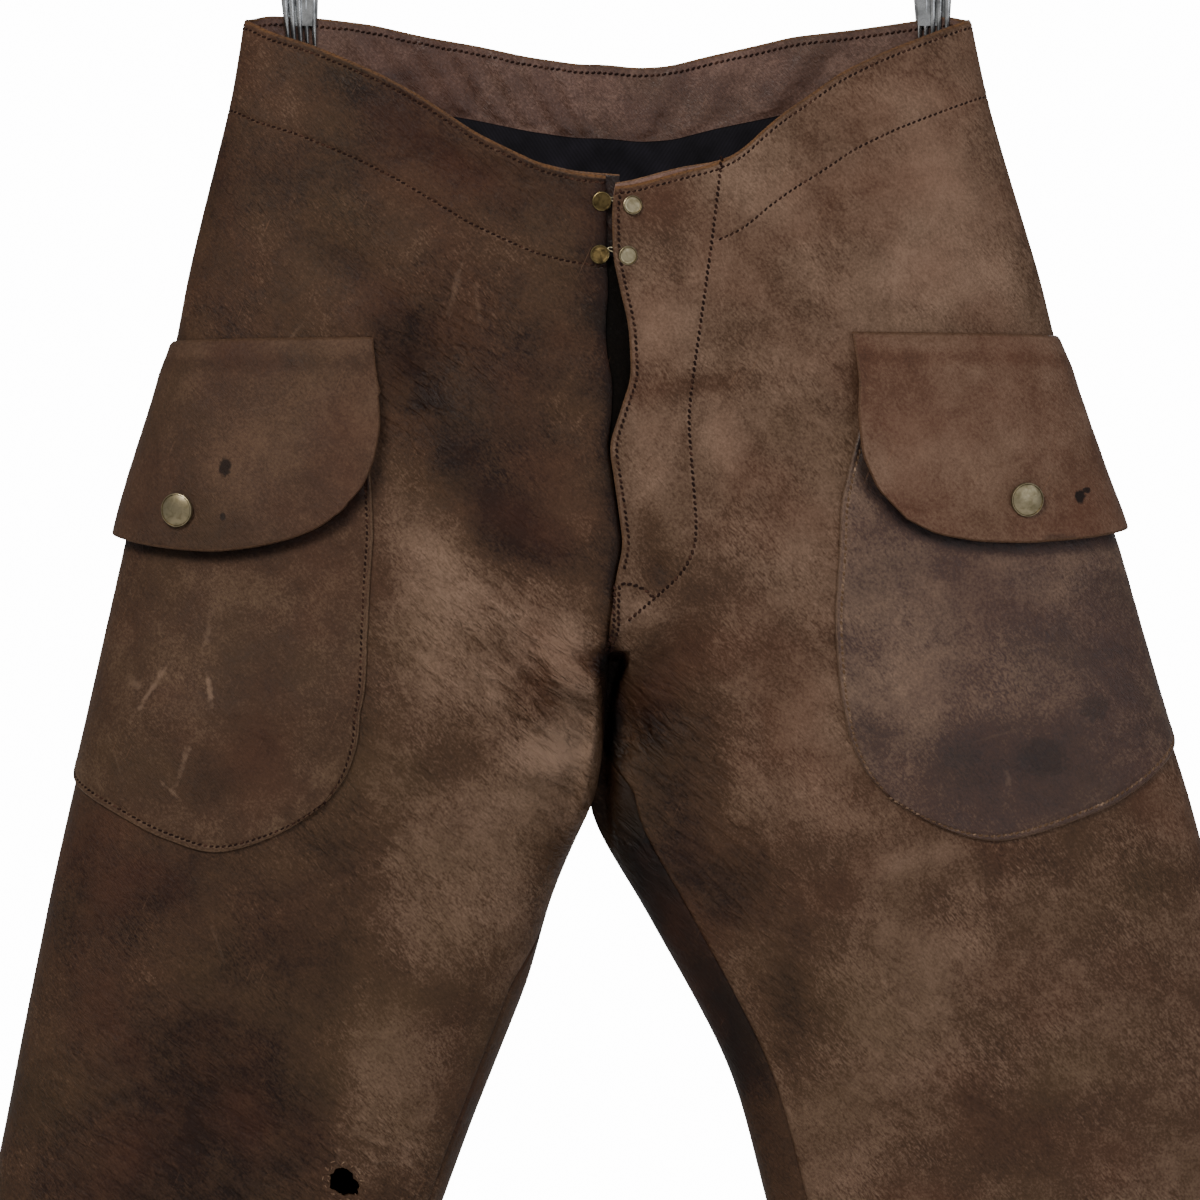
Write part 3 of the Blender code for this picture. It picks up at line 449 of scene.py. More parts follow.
# points with those on a torn hole's rim drawn onto its outline, and the cells inside it
def tornOut(points, hole):
    reach = tornReach(points, hole)
    cells = (reach[:-1, :-1] + reach[1:, :-1] + reach[:-1, 1:] + reach[1:, 1:]) / 4 < 1
    within = np.zeros(reach.shape, bool)
    beside = np.zeros(reach.shape, bool)
    for i in (0, 1):
        for j in (0, 1):
            part = (slice(i, reach.shape[0] - 1 + i), slice(j, reach.shape[1] - 1 + j))
            within[part] |= cells
            beside[part] |= ~cells
    rim = within & beside
    middle = np.array([hole["x"], 0.0, hole["z"]])
    flat = points * np.array([1.0, 0.0, 1.0]) - middle
    moved = points + flat * (1 / np.maximum(reach, 0.2) - 1)[..., None]
    return np.where(rim[..., None], moved, points), cells


# points and normals on a made piece along one side of its grid, some way in
def lineOn(name, side, inset, start=0.0, end=1.0):
    grid = grids[name]
    outer, normal, reach = grid["outer"], grid["normal"], grid["reach"][side]
    if side in ("first", "last"):
        outer, normal, reach = outer.swapaxes(0, 1), normal.swapaxes(0, 1), reach.T
    count = outer.shape[1]
    columns = range(int(start * (count - 1)), int(end * (count - 1)) + 1)
    path = []
    for c in columns:
        order = np.argsort(reach[:, c], kind="stable")
        at = reach[order, c]
        path.append([[np.interp(inset, at, layer[order, c, axis]) for axis in range(3)]
                     for layer in (outer, normal)])
    path = np.array(path)
    return path[:, 0], path[:, 1]


grids = {}
cloth = {
    "edgeStitch": 4.4,      # from the waist's cut edge down to its stitches
    "leather": 2.0,
    "facing": 1.4,
    "lining": 1.0,
    "underlap": 1.6,
    "gap": 0.3,
    "step": {"front": 3.05, "back": 3.6},       # cells of the panels' grids
    "insideStep": 4.0,
    "halfGirth": 300.0,     # width that a panel's columns are shared out over
    "furrow": 0.9,          # half width of the groove that a row of stitches lies in
    "flyLap": 14.0,         # how far from its free edge the left front starts to stand proud
    "flyRise": 3.0,
    "flyFlat": (-500.0, 14.0),      # where that ends, and over what length
    # how fresh the waist's cut edge is, how much more over the fly, middle and half width of that
    "freshCut": (0.75, 0.25, 10.0, 75.0),
    # how much darker the right front is, and how much more where the left one laps over it: the
    # width of that, its lowest place and the length over which it ends
    "lapShadow": (0.5, 1.5, 4.5, -484.0, 20.0),
}
outwards = {"front": (0, -1, 0), "back": (0, 1, 0)}
farOff = 9.0                # a gap to the curved stitches too wide to matter


# The torn hole low on the front of the wearer's right leg; across is its place in the panel's
# columns, in millimetres of the half girth
tear = {
    "side": "right", "face": "front", "x": -138.0, "z": -789.0, "wide": 9.0, "tall": 6.5,
    "tilt": -46.0, "across": 193.0,
    "ragged": ((3, 0.10, 0.8), (7, 0.07, 2.1), (13, 0.05, 0.3)),     # lobes, share, start
    "fineStep": 1.1,
}


# places with the part near one of them made finer
def finer(places, middle, reach, step):
    near = np.arange(middle - reach, middle + reach, step)
    rest = places[(places < near[0] - 0.6 * step) | (places > near[-1] + 0.6 * step)]
    return np.sort(np.concatenate([rest, near]))


# a panel's columns and rows: parts of the way across, and heights in each column
def panelGrid(side, face):
    step = cloth["step"][face]
    places = spread(cloth["halfGirth"], step * cloth["halfGirth"] / 290)
    torn = tear["side"] == side and tear["face"] == face
    if torn:
        places = finer(places, tear["across"], 16.0, tear["fineStep"])
    parts = places / cloth["halfGirth"]
    tops = topOf(side, face, parts)
    level = body["level"]
    band = body["bandDepth"][side]
    upper = [tops - down for down in besides(0.0, band + 3.0, step, (cloth["edgeStitch"], band))]
    seam = upper[-1]
    count = round((np.mean(seam) - level) / step)
    upper += [seam + (level - seam) * row / count for row in range(1, count)]
    count = round((level - body["hem"]) / step)
    lower = [level + (body["hem"] - level) * row / count for row in range(count - 1)]
    if torn:
        lower = finer(np.array(lower)[::-1], tear["z"], 13.0, tear["fineStep"])[::-1].tolist()
    lower += [body["hem"] + rest for rest in (2.6, 1.4, 0.6, 0.0)]
    heights = np.array(upper + [np.full(len(parts), z) for z in lower])
    points = panelPoint(side, face, parts[None, :], heights)
    return points, gridNormals(points, outwards[face])


# height of the waist's edge at the columns of a panel
def topOf(side, face, parts):
    tops = np.full(len(parts), float(body["frontTop"][0][1]))
    for _ in range(4):
        tops = topHeight(side, face, panelPoint(side, face, parts, tops)[..., 0])
    return tops


# rows of the waist between two depths below its top edge
def waistGrid(side, face, start, end):
    parts = spread(cloth["halfGirth"], cloth["insideStep"]) / cloth["halfGirth"]
    downs = start + spread(end - start, cloth["insideStep"])
    tops = topOf(side, face, parts)
    points = panelPoint(side, face, parts[None, :], tops[None, :] - downs[:, None])
    return points, gridNormals(points, outwards[face])


# the facing is dark at its centre seam and under its upper edge, with a few paler places
def facingTones(points):
    x, z = points[..., 0], points[..., 2]
    tone = 0.8 - 0.35 * bell(points[0:1, :, 2] - z, 6.0)
    for place, width, amount in facing["tones"]:
        tone = tone + amount * bell(x - place, width)
    return {"tone": tone, "warm": 0.3 + 0 * x, "crumple": 0.3 + 0.7 * ease(-x / 40)}


def quietTones(points):
    return {"tone": 0 * points[..., 0], "warm": 0 * points[..., 0]}


# The curved stitching on the left front and its triangular tack, as seen from the front: x, z
flyCurve = [
    (66.0, -234), (65.0, -244), (63.7, -255), (61.5, -273), (57.0, -306), (53.5, -331),
    (50.2, -354), (47.5, -377), (49.0, -396), (50.5, -416), (52.0, -434), (51.5, -446),
    (49.0, -453), (44.0, -461), (38.0, -467), (29.0, -474), (23.0, -480), (15.0, -486),
]
flyTack = {
    "top": [(11.0, -466.5), (15.0, -466.5), (20.0, -467.5), (25.0, -470.0), (29.0, -474.0)],
    "side": [(9.4, -467), (9.0, -474), (8.8, -481), (9.2, -486), (8.6, -491), (6.6, -497),
             (4.6, -503)],
}


# signed distance from the curved stitching, in millimetres
def curveGap(points):
    line = np.array(flyCurve, float)
    x, z = points[..., 0], points[..., 2]
    signed = np.full(x.shape, farOff)
    for first, second in zip(line[:-1], line[1:]):
        run = second - first
        dx, dz = x - first[0], z - first[1]
        held = np.clip((dx * run[0] + dz * run[1]) / (run @ run), 0, 1)
        gap = np.hypot(dx - held * run[0], dz - held * run[1])
        gap = gap * np.where(dx * run[1] - dz * run[0] > 0, 1, -1)
        signed = np.where(np.abs(gap) < np.abs(signed), gap, signed)
    return signed


# how far the left front stands proud along its free edge
def flyProud(x, z):
    across = np.clip(x - readFly("left", z), 0, 99)
    low, end = cloth["flyFlat"]
    return cloth["flyRise"] * ease(1 - across / cloth["flyLap"]) * ease((z - low) / end)


# the four panels, each in one piece from the waist to the hem
def makePanels():
    for side in sides:
        for face in ("front", "back"):
            points, normals = panelGrid(side, face)
            x, z = points[..., 0], points[..., 2]
            name = named(face, side)
            # the waist's cut edge is freshest over the fly
            fresh, more, middle, width = cloth["freshCut"]
            freshCut = fresh + more * bell(x - middle, width) * (face == "front")
            rims = {"top": (3.2, 1.5, freshCut), "bottom": (2.6, 1.2, 0.7),
                    "first": (2.6, 1.1, 0.0), "last": (2.6, 1.1, 0.0)}
            banded = 1.0 * (x > flyCurve[0][0] - 4) if name == "frontLeft" else 1.0
            furrows = [("top", cloth["edgeStitch"], 0.45, 1.0),
                       ("top", body["bandDepth"][side], 0.55, banded)]
            tones = tonesOf(face, points)
            if name == "frontLeft":
                points = points + normals * flyProud(x, z)[..., None]
                tones["curve"] = curveGap(points)
                # the hollow beside the right thigh lies in its shadow
                dark, past = thighs["hollowShadow"]
                tones["tone"] -= dark * crotchHollow(x + past, z)
                rims["last"] = (2.2, 1.0, 0.55 * ease((z + 470) / 8))
            elif name == "frontRight":
                # darker all over, and most where the left front laps over it
                dark, more, width, low, end = cloth["lapShadow"]
                across = np.abs(x - points[:, -1:, 0])
                tones["curve"] = farOff + 0 * x
                tones["tone"] -= dark + more * np.exp(-across / width) * ease((z - low) / end)
            clothPiece(name, face + "_" + side, points, normals, cloth["leather"], paint[face],
                       rims, tones, furrows,
                       tear if name == "frontRight" else None)


facing = {
    "start": 0.4, "depth": 41.0,
    "liningEnd": 106.0, "liningLap": 0.8,
    # how far its cut edge stands above the front's beside the fly, from what x on; and the width
    # and the height over which it comes to that
    "stand": {"right": (1.4, -60.0), "left": (3.4, 84.0)}, "standRun": (50.0, 34.0),
    # its end on the right: where and over what width it moves behind the left front and darkens
    "endShift": (-12.0, 14.0, (7.5, 2.0, 0.0)), "endShadow": (-6.0, 7.0, 4.5),
    # x, half width, tone: the centre seam, then paler and darker places
    "tones": ((3, 2, -0.9), (-82, 22, 0.3), (-38, 12, 0.3), (-150, 30, -0.25)),
    # slanting wrinkles of the back facing, deepest on the wearer's right: x, lean, half width, rise
    "wrinkles": (
        (-118, 0.7, 6, 1.6), (-99, 0.8, 5, 1.3), (-84, 0.6, 6, 1.8), (-66, 0.7, 5, 1.5),
        (-49, 0.5, 5, 1.7), (-33, 0.6, 4, 1.3), (-18, 0.4, 4, 1.2), (36, -0.5, 6, 0.9),
        (66, -0.6, 7, 0.8), (104, -0.7, 7, 0.9),
    ),
}


underlap = {"across": (-16.0, 34.0, 17), "down": (-290.0, -465.0, -4.0), "gap": 0.6}


def facingFolds(points):
    x, z = points[..., 0], points[..., 2]
    rise = np.zeros(x.shape)
    for middle, lean, wide, amount in facing["wrinkles"]:
        off = (x - middle + lean * (z + 190)) / wide
        rise = rise + amount * (1.7 * bell(off) - 0.9 * bell(off - 1.5))
    return rise * ease((points[0:1, :, 2] - z) / 8.0) * ease((z - points[-1:, :, 2]) / 6.0)


# facings behind the waist's edge, and the lining that shows below the back ones
def makeInside():
    behind = cloth["leather"] + cloth["gap"]
    for side in sides:
        for face in ("front", "back"):
            points, normals = waistGrid(side, face, facing["start"], facing["depth"])
            points = points - normals * behind
            tones = facingTones(points)
            if face == "front":
                rise, begin = facing["stand"][side]
                wide, tall = facing["standRun"]
                x, toFly = points[..., 0], 1 if side == "right" else -1
                high = ease((points[..., 2] - points[-1:, :, 2]) / tall)
                points[..., 2] += rise * ease(toFly * (x - begin) / wide) * high
                if side == "right":
                    begin, run, dark = facing["endShadow"]
                    tones["tone"] -= dark * ease((x - begin) / run)
                    begin, run, shift = facing["endShift"]
                    points += ease((x - begin) / run)[..., None] * np.array(shift)
            else:
                points = points - normals * facingFolds(points)[..., None]
            clothPiece(named("facing", face, side), f"facing_{face}_{side}", points, normals,
                       cloth["facing"], paint["facing"],
                       {"top": (1.4, 0.5, 1.0), "last": (2.2, 0.7, 0.0)},
                       tones)
        start = facing["depth"] - facing["liningLap"]
        points, normals = waistGrid(side, "back", start, facing["liningEnd"])
        points = points - normals * behind
        clothPiece(named("lining", side), "lining_back_" + side, points, normals, cloth["lining"],
                   paint["lining"], {}, quietTones(points))
    x, z = np.linspace(*underlap["across"]), np.arange(*underlap["down"])
    grid = facePoint("front", x[None, :], z[:, None])
    points = grid + np.array([0.0, cloth["leather"] + underlap["gap"], 0.0])
    normals = np.broadcast_to(np.array(outwards["front"], float), points.shape)
    clothPiece("flyUnderlap", "fly_underlap", points, normals, cloth["underlap"],
               paint["underlap"], {}, quietTones(points))


# Pockets and flaps laid flat: distance round the leg from the side seam (the front is plus) and
# height. Each outline is four sides from corner to corner: top, front edge, foot, back edge.
pockets = {
    "right": {
        "pocket": (
            ((-90, -352), (20, -352), (124, -352)),
            ((124, -352), (136, -400), (148, -437), (154, -473), (160, -496), (173, -529),
             (177, -551), (175, -571), (166, -585)),
            ((-46, -530), (-18, -557), (15, -575), (49, -589), (76, -601), (104, -610),
             (117, -611), (134, -606), (151, -598), (166, -585)),
            ((-90, -352), (-75, -426), (-58, -500), (-46, -530)),
        ),
        "flap": (
            ((-90, -333), (20, -333), (122, -333)),
            ((122, -333), (127, -351), (133, -368), (137, -384), (138, -401), (136, -416),
             (130, -428)),
            ((-58, -410), (-45, -424), (-25, -434), (0, -441), (23, -446), (44, -449), (67, -450),
             (90, -447), (106, -443), (119, -437), (130, -428)),
            ((-90, -333), (-75, -368), (-67, -390), (-58, -410)),
        ),
    },
    "left": {
        "pocket": (
            ((-66, -348), (30, -348), (119, -348)),
            ((119, -348), (137, -388), (158, -425), (172, -465), (178, -484), (186, -510),
             (194, -534), (195, -553), (191, -570), (181, -583)),
            ((-30, -510), (-14, -538), (14, -559), (37, -574), (62, -587), (92, -597),
             (113, -603), (130, -606), (147, -603), (164, -595), (181, -583)),
            ((-66, -348), (-50, -421), (-38, -480), (-30, -510)),
        ),
        "flap": (
            ((-66, -330), (30, -330), (124, -330)),
            ((124, -330), (128, -357), (134, -375), (138, -397), (136, -416), (126, -432)),
            ((-46, -402), (-36, -420), (-20, -432), (0, -439), (32, -443), (63, -445),
             (91, -444), (113, -440), (126, -432)),
            ((-66, -330), (-60, -355), (-53, -380), (-46, -402)),
        ),
    },
    "lift": (6.0, 110.0),   # how far a flap stands off the pocket, so far below its top
    "free": (2.2, 26.0, 16.0),      # how far its free front edge stands off, width and start
    "mouth": 18.0,          # from a flap's top to where it has cleared the pocket's mouth
    "bend": (0.4, 14.0, 4.5),       # how dark a flap is where it bends there, place and width
    "soil": (1.3, 4.5),     # painted shadow: how dark a pocket is beside its flap's edge, and how wide
    "seam": 3.4,            # from a pocket's edge in to its stitches
    "step": 2.6,
}


# length along a line up to each of its points
def lengthAlong(line):
    return np.concatenate([[0], np.cumsum(lengths(np.diff(line, axis=0)))])


# rows of values where a place lies between those at which they are known
def valuesAt(places, known, values):
    return np.stack([np.interp(places, known, values[:, i]) for i in range(values.shape[1])], -1)


# evenly spaced parts of a line through points, its corners softened
def alongLine(line, parts):
    line = np.array(line, float)
    reach = lengthAlong(line)
    dense = valuesAt(np.linspace(0, reach[-1], 241), reach, line)
    for _ in range(60):
        dense[1:-1] = 0.25 * dense[:-2] + 0.5 * dense[1:-1] + 0.25 * dense[2:]
    reach = lengthAlong(dense)
    return valuesAt(np.asarray(parts) * reach[-1], reach, dense)


wrap = {"levels": (-318.0, -626.0, -4.0), "turns": (-2.3, 2.6, 393), "places": (-120.0, 230.0)}


# turn round the leg at which the surface is u millimetres from the side seam, for a side
def wrapTable(side):
    levels, turns = np.arange(*wrap["levels"]), np.linspace(*wrap["turns"])
    seam = np.argmin(np.abs(turns))
    points = formPoint(side, turns[None, :], levels[:, None])
    reach = np.cumsum(lengths(np.diff(points, axis=1)), axis=1)
    reach = np.hstack([np.zeros((len(levels), 1)), reach])
    reach = reach - reach[:, seam:seam + 1]
    places = np.arange(*wrap["places"], 1.0)
    return levels, places, np.array([np.interp(places, row, turns) for row in reach])


wraps = {side: wrapTable(side) for side in sides}


# points on a leg's side at flat places (u, z)
def wrapPoint(side, u, z):
    levels, places, table = wraps[side]
    row = np.clip((z - levels[0]) / wrap["levels"][2], 0, len(levels) - 1.001)
    column = np.clip(u - places[0], 0, len(places) - 1.001)
    r, c = row.astype(int), column.astype(int)
    fr, fc = row - r, column - c
    turn = ((1 - fr) * ((1 - fc) * table[r, c] + fc * table[r, c + 1])
            + fr * ((1 - fc) * table[r + 1, c] + fc * table[r + 1, c + 1]))
    return formPoint(side, turn, z)


# a flat grid between four sides, close together along its edges
def flatGrid(outline, step):
    top, front, foot, back = outline
    across, down = 1.15 * math.dist(top[0], top[-1]), 1.1 * math.dist(front[0], front[-1])
    s, t = spread(across, step) / across, spread(down, step) / down
    topLine, footLine = alongLine(top, s), alongLine(foot, s)
    frontLine, backLine = alongLine(front, t), alongLine(back, t)
    s, t = s[None, :, None], t[:, None, None]
    corner = [np.array(p, float) for p in (top[0], top[-1], foot[0], foot[-1])]
    return ((1 - t) * topLine[None] + t * footLine[None]
            + (1 - s) * backLine[:, None] + s * frontLine[:, None]
            - (1 - s) * (1 - t) * corner[0] - s * (1 - t) * corner[1]
            - (1 - s) * t * corner[2] - s * t * corner[3])


# how far a flap stands off its seat, at places some way below its top
def flapLift(u, below):
    overMouth = np.clip(below / pockets["mouth"], 0, 1) * (cloth["leather"] + cloth["gap"])
    stand, width, start = pockets["free"]
    free = stand * ease((u - u.max() + width) / width) * ease(below / start)
    stand, length = pockets["lift"]
    return overMouth + stand * ease(below / length) + free


def makePockets():
    for side in sides:
        for kind, node, cut in (("pocket", "pocket_", (2.2, 1.3, 0.55)),
                                ("flap", "pocket_flap_", (1.5, 0.8, 1.0))):
            flat = flatGrid(pockets[side][kind], pockets["step"])
            u, z = flat[..., 0], flat[..., 1]
            points = wrapPoint(side, u, z)
            normals = gridNormals(points, (-1 if side == "right" else 1, -1, 0))
            below = pockets[side]["flap"][0][0][1] - z
            lift = cloth["gap"] + cloth["leather"] + 0.2 + 0 * u
            if kind == "flap":
                lift = lift + flapLift(u, below)
            points = points + normals * lift[..., None]
            edges = ("first", "last", "bottom")
            rims = {edge: cut for edge in edges}
            tones = tonesOf(kind, points)
            if kind == "flap":
                rims["top"] = (3.0, 1.2, 0.55)
                furrows = []
                dark, middle, width = pockets["bend"]
                tones["tone"] -= dark * bell(below - middle, width)
            else:
                rims["top"] = (1.5, 0.8, 0.6)
                furrows = [(edge, pockets["seam"], 0.5, 1.0) for edge in edges]
                # painted shadow beside the flap's edge, where it falls on the pocket
                dark, width = pockets["soil"]
                edge = np.vstack([alongLine(line, np.linspace(0, 1, 90))
                                  for line in pockets[side]["flap"][1:3]])
                gap = np.hypot(u[..., None] - edge[:, 0], z[..., None] - edge[:, 1]).min(-1)
                tones["tone"] -= dark * bell(gap, width)
            clothPiece(named(kind, side), node + side, points, normals, cloth["leather"],
                       paint[named(kind, side)], rims,
                       tones, furrows)


# Soft patches of the leather's colour, placed on each surface, with painted light and shade among
# them: darker along troughs and nearly black between the legs where shadow falls, paler where the
# inner right thigh turns away from the light. x, z, half width, half height, tilt in degrees, tone
# (minus is darker) and warmth (minus is olive, plus is red-brown)
tonesAndPaintedLight = {
    "front": (
        (-80, -524, 20, 17, 0, 0.42, 0.1), (-50, -620, 13, 17, 0, 0.4, 0.1),
        (82, -232, 26, 14, 0, 0.32, 0.1), (145, -329, 16, 14, 0, 0.35, 0.1),
        (145, -589, 18, 20, 0, 0.3, 0.1), (-146, -784, 18, 30, 0, 0.36, 0.1),
        (300, -695, 34, 40, 0, -0.26, 0), (-147, -426, 16, 14, 0, 0.3, 0.1),
        (-163, -204, 33, 27, 0, 0.42, 0.1), (-179, -245, 23, 20, 0, -0.22, 0.2),
        (-117, -211, 38, 10, -33, -0.32, 0.3), (-66, -246, 36, 10, -30, -0.42, 0.5),
        (-43, -280, 25, 16, 0, 0.08, 0.2), (-198, -280, 22, 27, 0, 0.22, 0.1),
        (-136, -292, 34, 9, -40, -0.42, 0.2), (-107, -341, 14, 34, 14, -0.62, 0.3),
        (-82, -388, 14, 34, 24, -0.6, 0.3), (-43, -437, 26, 16, -30, -0.85, 0.4),
        (-65, -350, 16, 43, 25, -0.16, 0.1), (-21, -337, 16, 27, 0, 0.12, 0.2),
        (-18, -383, 14, 20, 0, 0.16, 0), (-5, -292, 8, 33, 0, -0.35, 0.2),
        (-91, -447, 23, 25, 0, 0.7, 0.1), (-75, -476, 34, 25, 0, 0.85, 0.2),
        (-99, -512, 26, 33, 0, 0.6, -0.2), (-21, -497, 17, 14, 0, 0.75, 0.3),
        (-28, -557, 23, 11, 0, 1, 0.3), (-34, -524, 13, 16, 0, -0.42, 0.3),
        (-72, -564, 24, 12, 0, -0.3, 0.3), (-109, -567, 22, 16, 0, 0.35, -0.4),
        (-88, -608, 36, 30, 0, 0.5, -0.6), (-136, -610, 22, 33, 0, -0.12, -0.2),
        (-244, -629, 46, 23, 0, -0.42, 0.2), (-199, -665, 50, 28, 0, -0.32, 0.1),
        (-141, -673, 33, 23, 0, -0.32, 0.2), (-92, -651, 28, 36, 0, 0.75, -0.5),
        (-92, -687, 18, 8, 0, -0.36, -0.2), (-117, -735, 33, 49, 0, 0.8, -0.6),
        (-227, -749, 50, 50, 0, -0.72, 0.2), (-151, -774, 33, 28, 0, -0.5, 0.1),
        (-304, -741, 16, 43, 0, 0.14, -0.1), (-266, -697, 20, 25, 20, -0.2, 0.2),
        (-49, -583, 33, 18, 0, 0.5, 0), (-136, -551, 22, 33, 0, 0, -0.3),
        (34, -319, 20, 27, 0, 0.42, 0.4), (26, -258, 22, 16, 0, 0.15, 0.3),
        (79, -253, 23, 27, 0, 0.3, 0.2), (49, -360, 34, 7, 8, -0.5, 0.2),
        (22, -389, 17, 15, 0, 0.22, 0.2), (68, -395, 11, 25, 24, 0.5, 0.4),
        (37, -424, 14, 24, 20, 0.42, 0.3), (33, -462, 10, 9, 0, -0.95, 0),
        (27, -441, 7, 18, 14, -0.45, 0.2), (17, -482, 12, 14, 0, 0.28, 0.2),
        (46, -499, 13, 34, -8, -0.5, 0.2), (6, -537, 5, 39, 2, -3.2, 0),
        (2, -510, 9, 5, 0, -2.4, 0), (27, -524, 14, 27, 0, -0.8, 0.1),
        (33, -575, 27, 46, 0, -0.95, 0.1), (51, -620, 28, 26, 0, -0.7, 0.2),
        (79, -633, 34, 25, 0, -0.5, 0.2), (88, -532, 23, 41, 0, 0.16, 0.2),
        (92, -544, 7, 23, 0, -0.35, 0.2), (131, -622, 22, 31, 0, -0.5, 0.2),
        (56, -665, 22, 34, 0, -0.55, 0.2), (73, -724, 22, 43, 0, -0.45, 0.1),
        (104, -697, 16, 39, 0, -0.66, 0.2), (98, -331, 34, 33, 0, 0.3, 0.2),
        (125, -254, 34, 22, 20, 0.25, 0.3), (126, -265, 8, 14, 20, -0.32, 0.2),
        (180, -237, 30, 36, 0, 0.62, 0.5), (179, -303, 36, 28, 0, 0.58, 0.5),
        (212, -285, 12, 34, 0, 0.1, 0.2), (103, -453, 20, 36, 0, 0.18, 0.1),
        (120, -524, 12, 46, 0, 0.3, 0.2), (169, -615, 34, 10, 12, 0.36, 0.3),
        (142, -719, 30, 46, 0, 0.26, -0.5), (179, -666, 44, 30, 0, 0.06, -0.1),
        (233, -670, 33, 30, 0, -0.08, 0), (253, -723, 27, 22, 0, 0.2, -0.6),
        (233, -768, 41, 29, 0, -0.62, 0.2), (228, -719, 16, 23, 0, -0.3, 0.2),
        (278, -640, 28, 16, 0, 0.16, -0.4), (298, -751, 22, 33, 0, -0.25, 0.1),
        (55, -290, 16, 22, 0, 0.1, 0.4), (-65, -475, 34, 36, 10, 0.3, -0.3),
        (-217, -665, 40, 40, 0, 0.2, -0.2), (-108, -735, 40, 40, 0, 0.26, -0.2),
        (30, -312, 26, 44, 0, 0.26, -0.1), (98, -340, 40, 40, 0, -0.24, 0),
        (87, -529, 34, 34, 0, -0.2, 0), (190, -692, 40, 40, 0, 0.16, -0.2),
        (-163, -209, 40, 40, 0, 0.08, -0.5), (-32, -526, 34, 44, 0, 0.6, -0.2),
        (-10, -556, 18, 52, 0, 0.75, 0), (-49, -560, 34, 46, 0, 0.35, -0.2),
        (-44, -642, 24, 50, 10, 0.6, -0.2), (-108, -566, 36, 70, 0, 0.22, -0.1),
        (-128, -775, 26, 26, 0, 0.4, 0.1), (-138, -636, 46, 36, 0, 0.24, -0.2),
        (-108, -432, 34, 24, 0, 0.32, 0), (-18, -424, 14, 26, 0, 0.3, 0.1),
        (-28, -488, 26, 22, 0, 0.36, 0), (-24, -320, 16, 36, 0, 0.22, 0),
        (33, -262, 26, 18, 0, -0.42, 0), (179, -199, 26, 18, 0, 0.4, 0),
        (116, -352, 26, 34, 0, 0.3, 0), (80, -702, 20, 44, 20, 0.34, 0),
        (49, -656, 18, 26, 20, 0.3, 0), (49, -428, 20, 28, 0, -0.36, 0),
        (-330, -1010, 50, 90, 10, 0.2, 0), (-250, -1130, 70, 60, 0, -0.35, 0.2),
        (300, -1000, 60, 90, -10, 0.15, -0.3), (250, -900, 50, 40, 0, -0.3, 0.2),
        (340, -1150, 60, 60, 0, -0.35, 0.1),
    ),
    "pocket": (
        (-228, -524, 23, 17, 0, 0.2, 0), (-183, -541, 16, 34, 0, -0.26, 0.3),
        (-255, -486, 22, 17, 0, -0.05, 0.3), (-146, -486, 16, 33, 0, 0.02, 0.1),
        (-244, -583, 33, 12, 0, -0.04, -0.2), (-198, -570, 22, 22, 0, -0.1, 0.2),
        (152, -503, 28, 33, 0, 0.34, 0), (144, -552, 18, 15, 0, -0.3, 0),
        (176, -529, 22, 22, 0, 0.1, 0), (248, -562, 36, 25, 0, -0.72, 0),
        (274, -524, 30, 22, 0, -0.34, 0.3), (198, -566, 27, 20, 0, -0.42, 0),
        (244, -480, 49, 13, 0, -0.02, 0.4), (220, -578, 7, 9, 0, 0.35, 0),
        (195, -459, 33, 14, 0, 0, 0.2),
    ),
    "flap": (
        (195, -383, 43, 43, 0, 0.1, 0.2), (195, -341, 54, 7, 0, 0.16, 0.3),
        (260, -429, 22, 14, 0, -0.3, 0.2), (-173, -380, 43, 33, 0, 0.1, 0.1),
        (-222, -340, 38, 7, 0, -0.05, 0.2), (-141, -405, 16, 33, 0, -0.12, 0.1),
        (222, -388, 22, 16, 0, 0.12, 0.1), (163, -410, 16, 22, 0, 0.06, 0.2),
    ),
    "back": (
        (-120, -230, 70, 26, -8, 0.3, 0.2), (110, -225, 70, 24, 8, 0.2, 0.1),
        (-150, -400, 60, 70, 10, 0.3, -0.2), (140, -420, 66, 70, -10, 0.34, 0.1),
        (22, -612, 26, 56, 0, -2.4, 0.2), (66, -700, 34, 60, 20, -1.7, 0.2),
        (-34, -640, 30, 60, 0, -0.9, 0.2), (-80, -740, 34, 70, 0, -0.6, 0.1),
        (112, -800, 40, 70, 0, -0.5, 0.1), (0, -470, 46, 80, 0, -0.5, 0.2),
        (-110, -600, 70, 24, -10, -0.4, 0.3), (120, -610, 70, 24, 10, -0.36, 0.2),
        (-190, -820, 60, 80, 8, 0.2, -0.4), (190, -840, 60, 90, -8, 0.24, -0.3),
        (-220, -930, 60, 30, 0, -0.5, 0.2), (230, -945, 60, 30, 0, -0.42, 0.2),
        (-300, -1120, 70, 70, 0, -0.3, 0.1), (320, -1130, 70, 70, 0, -0.3, 0),
    ),
}


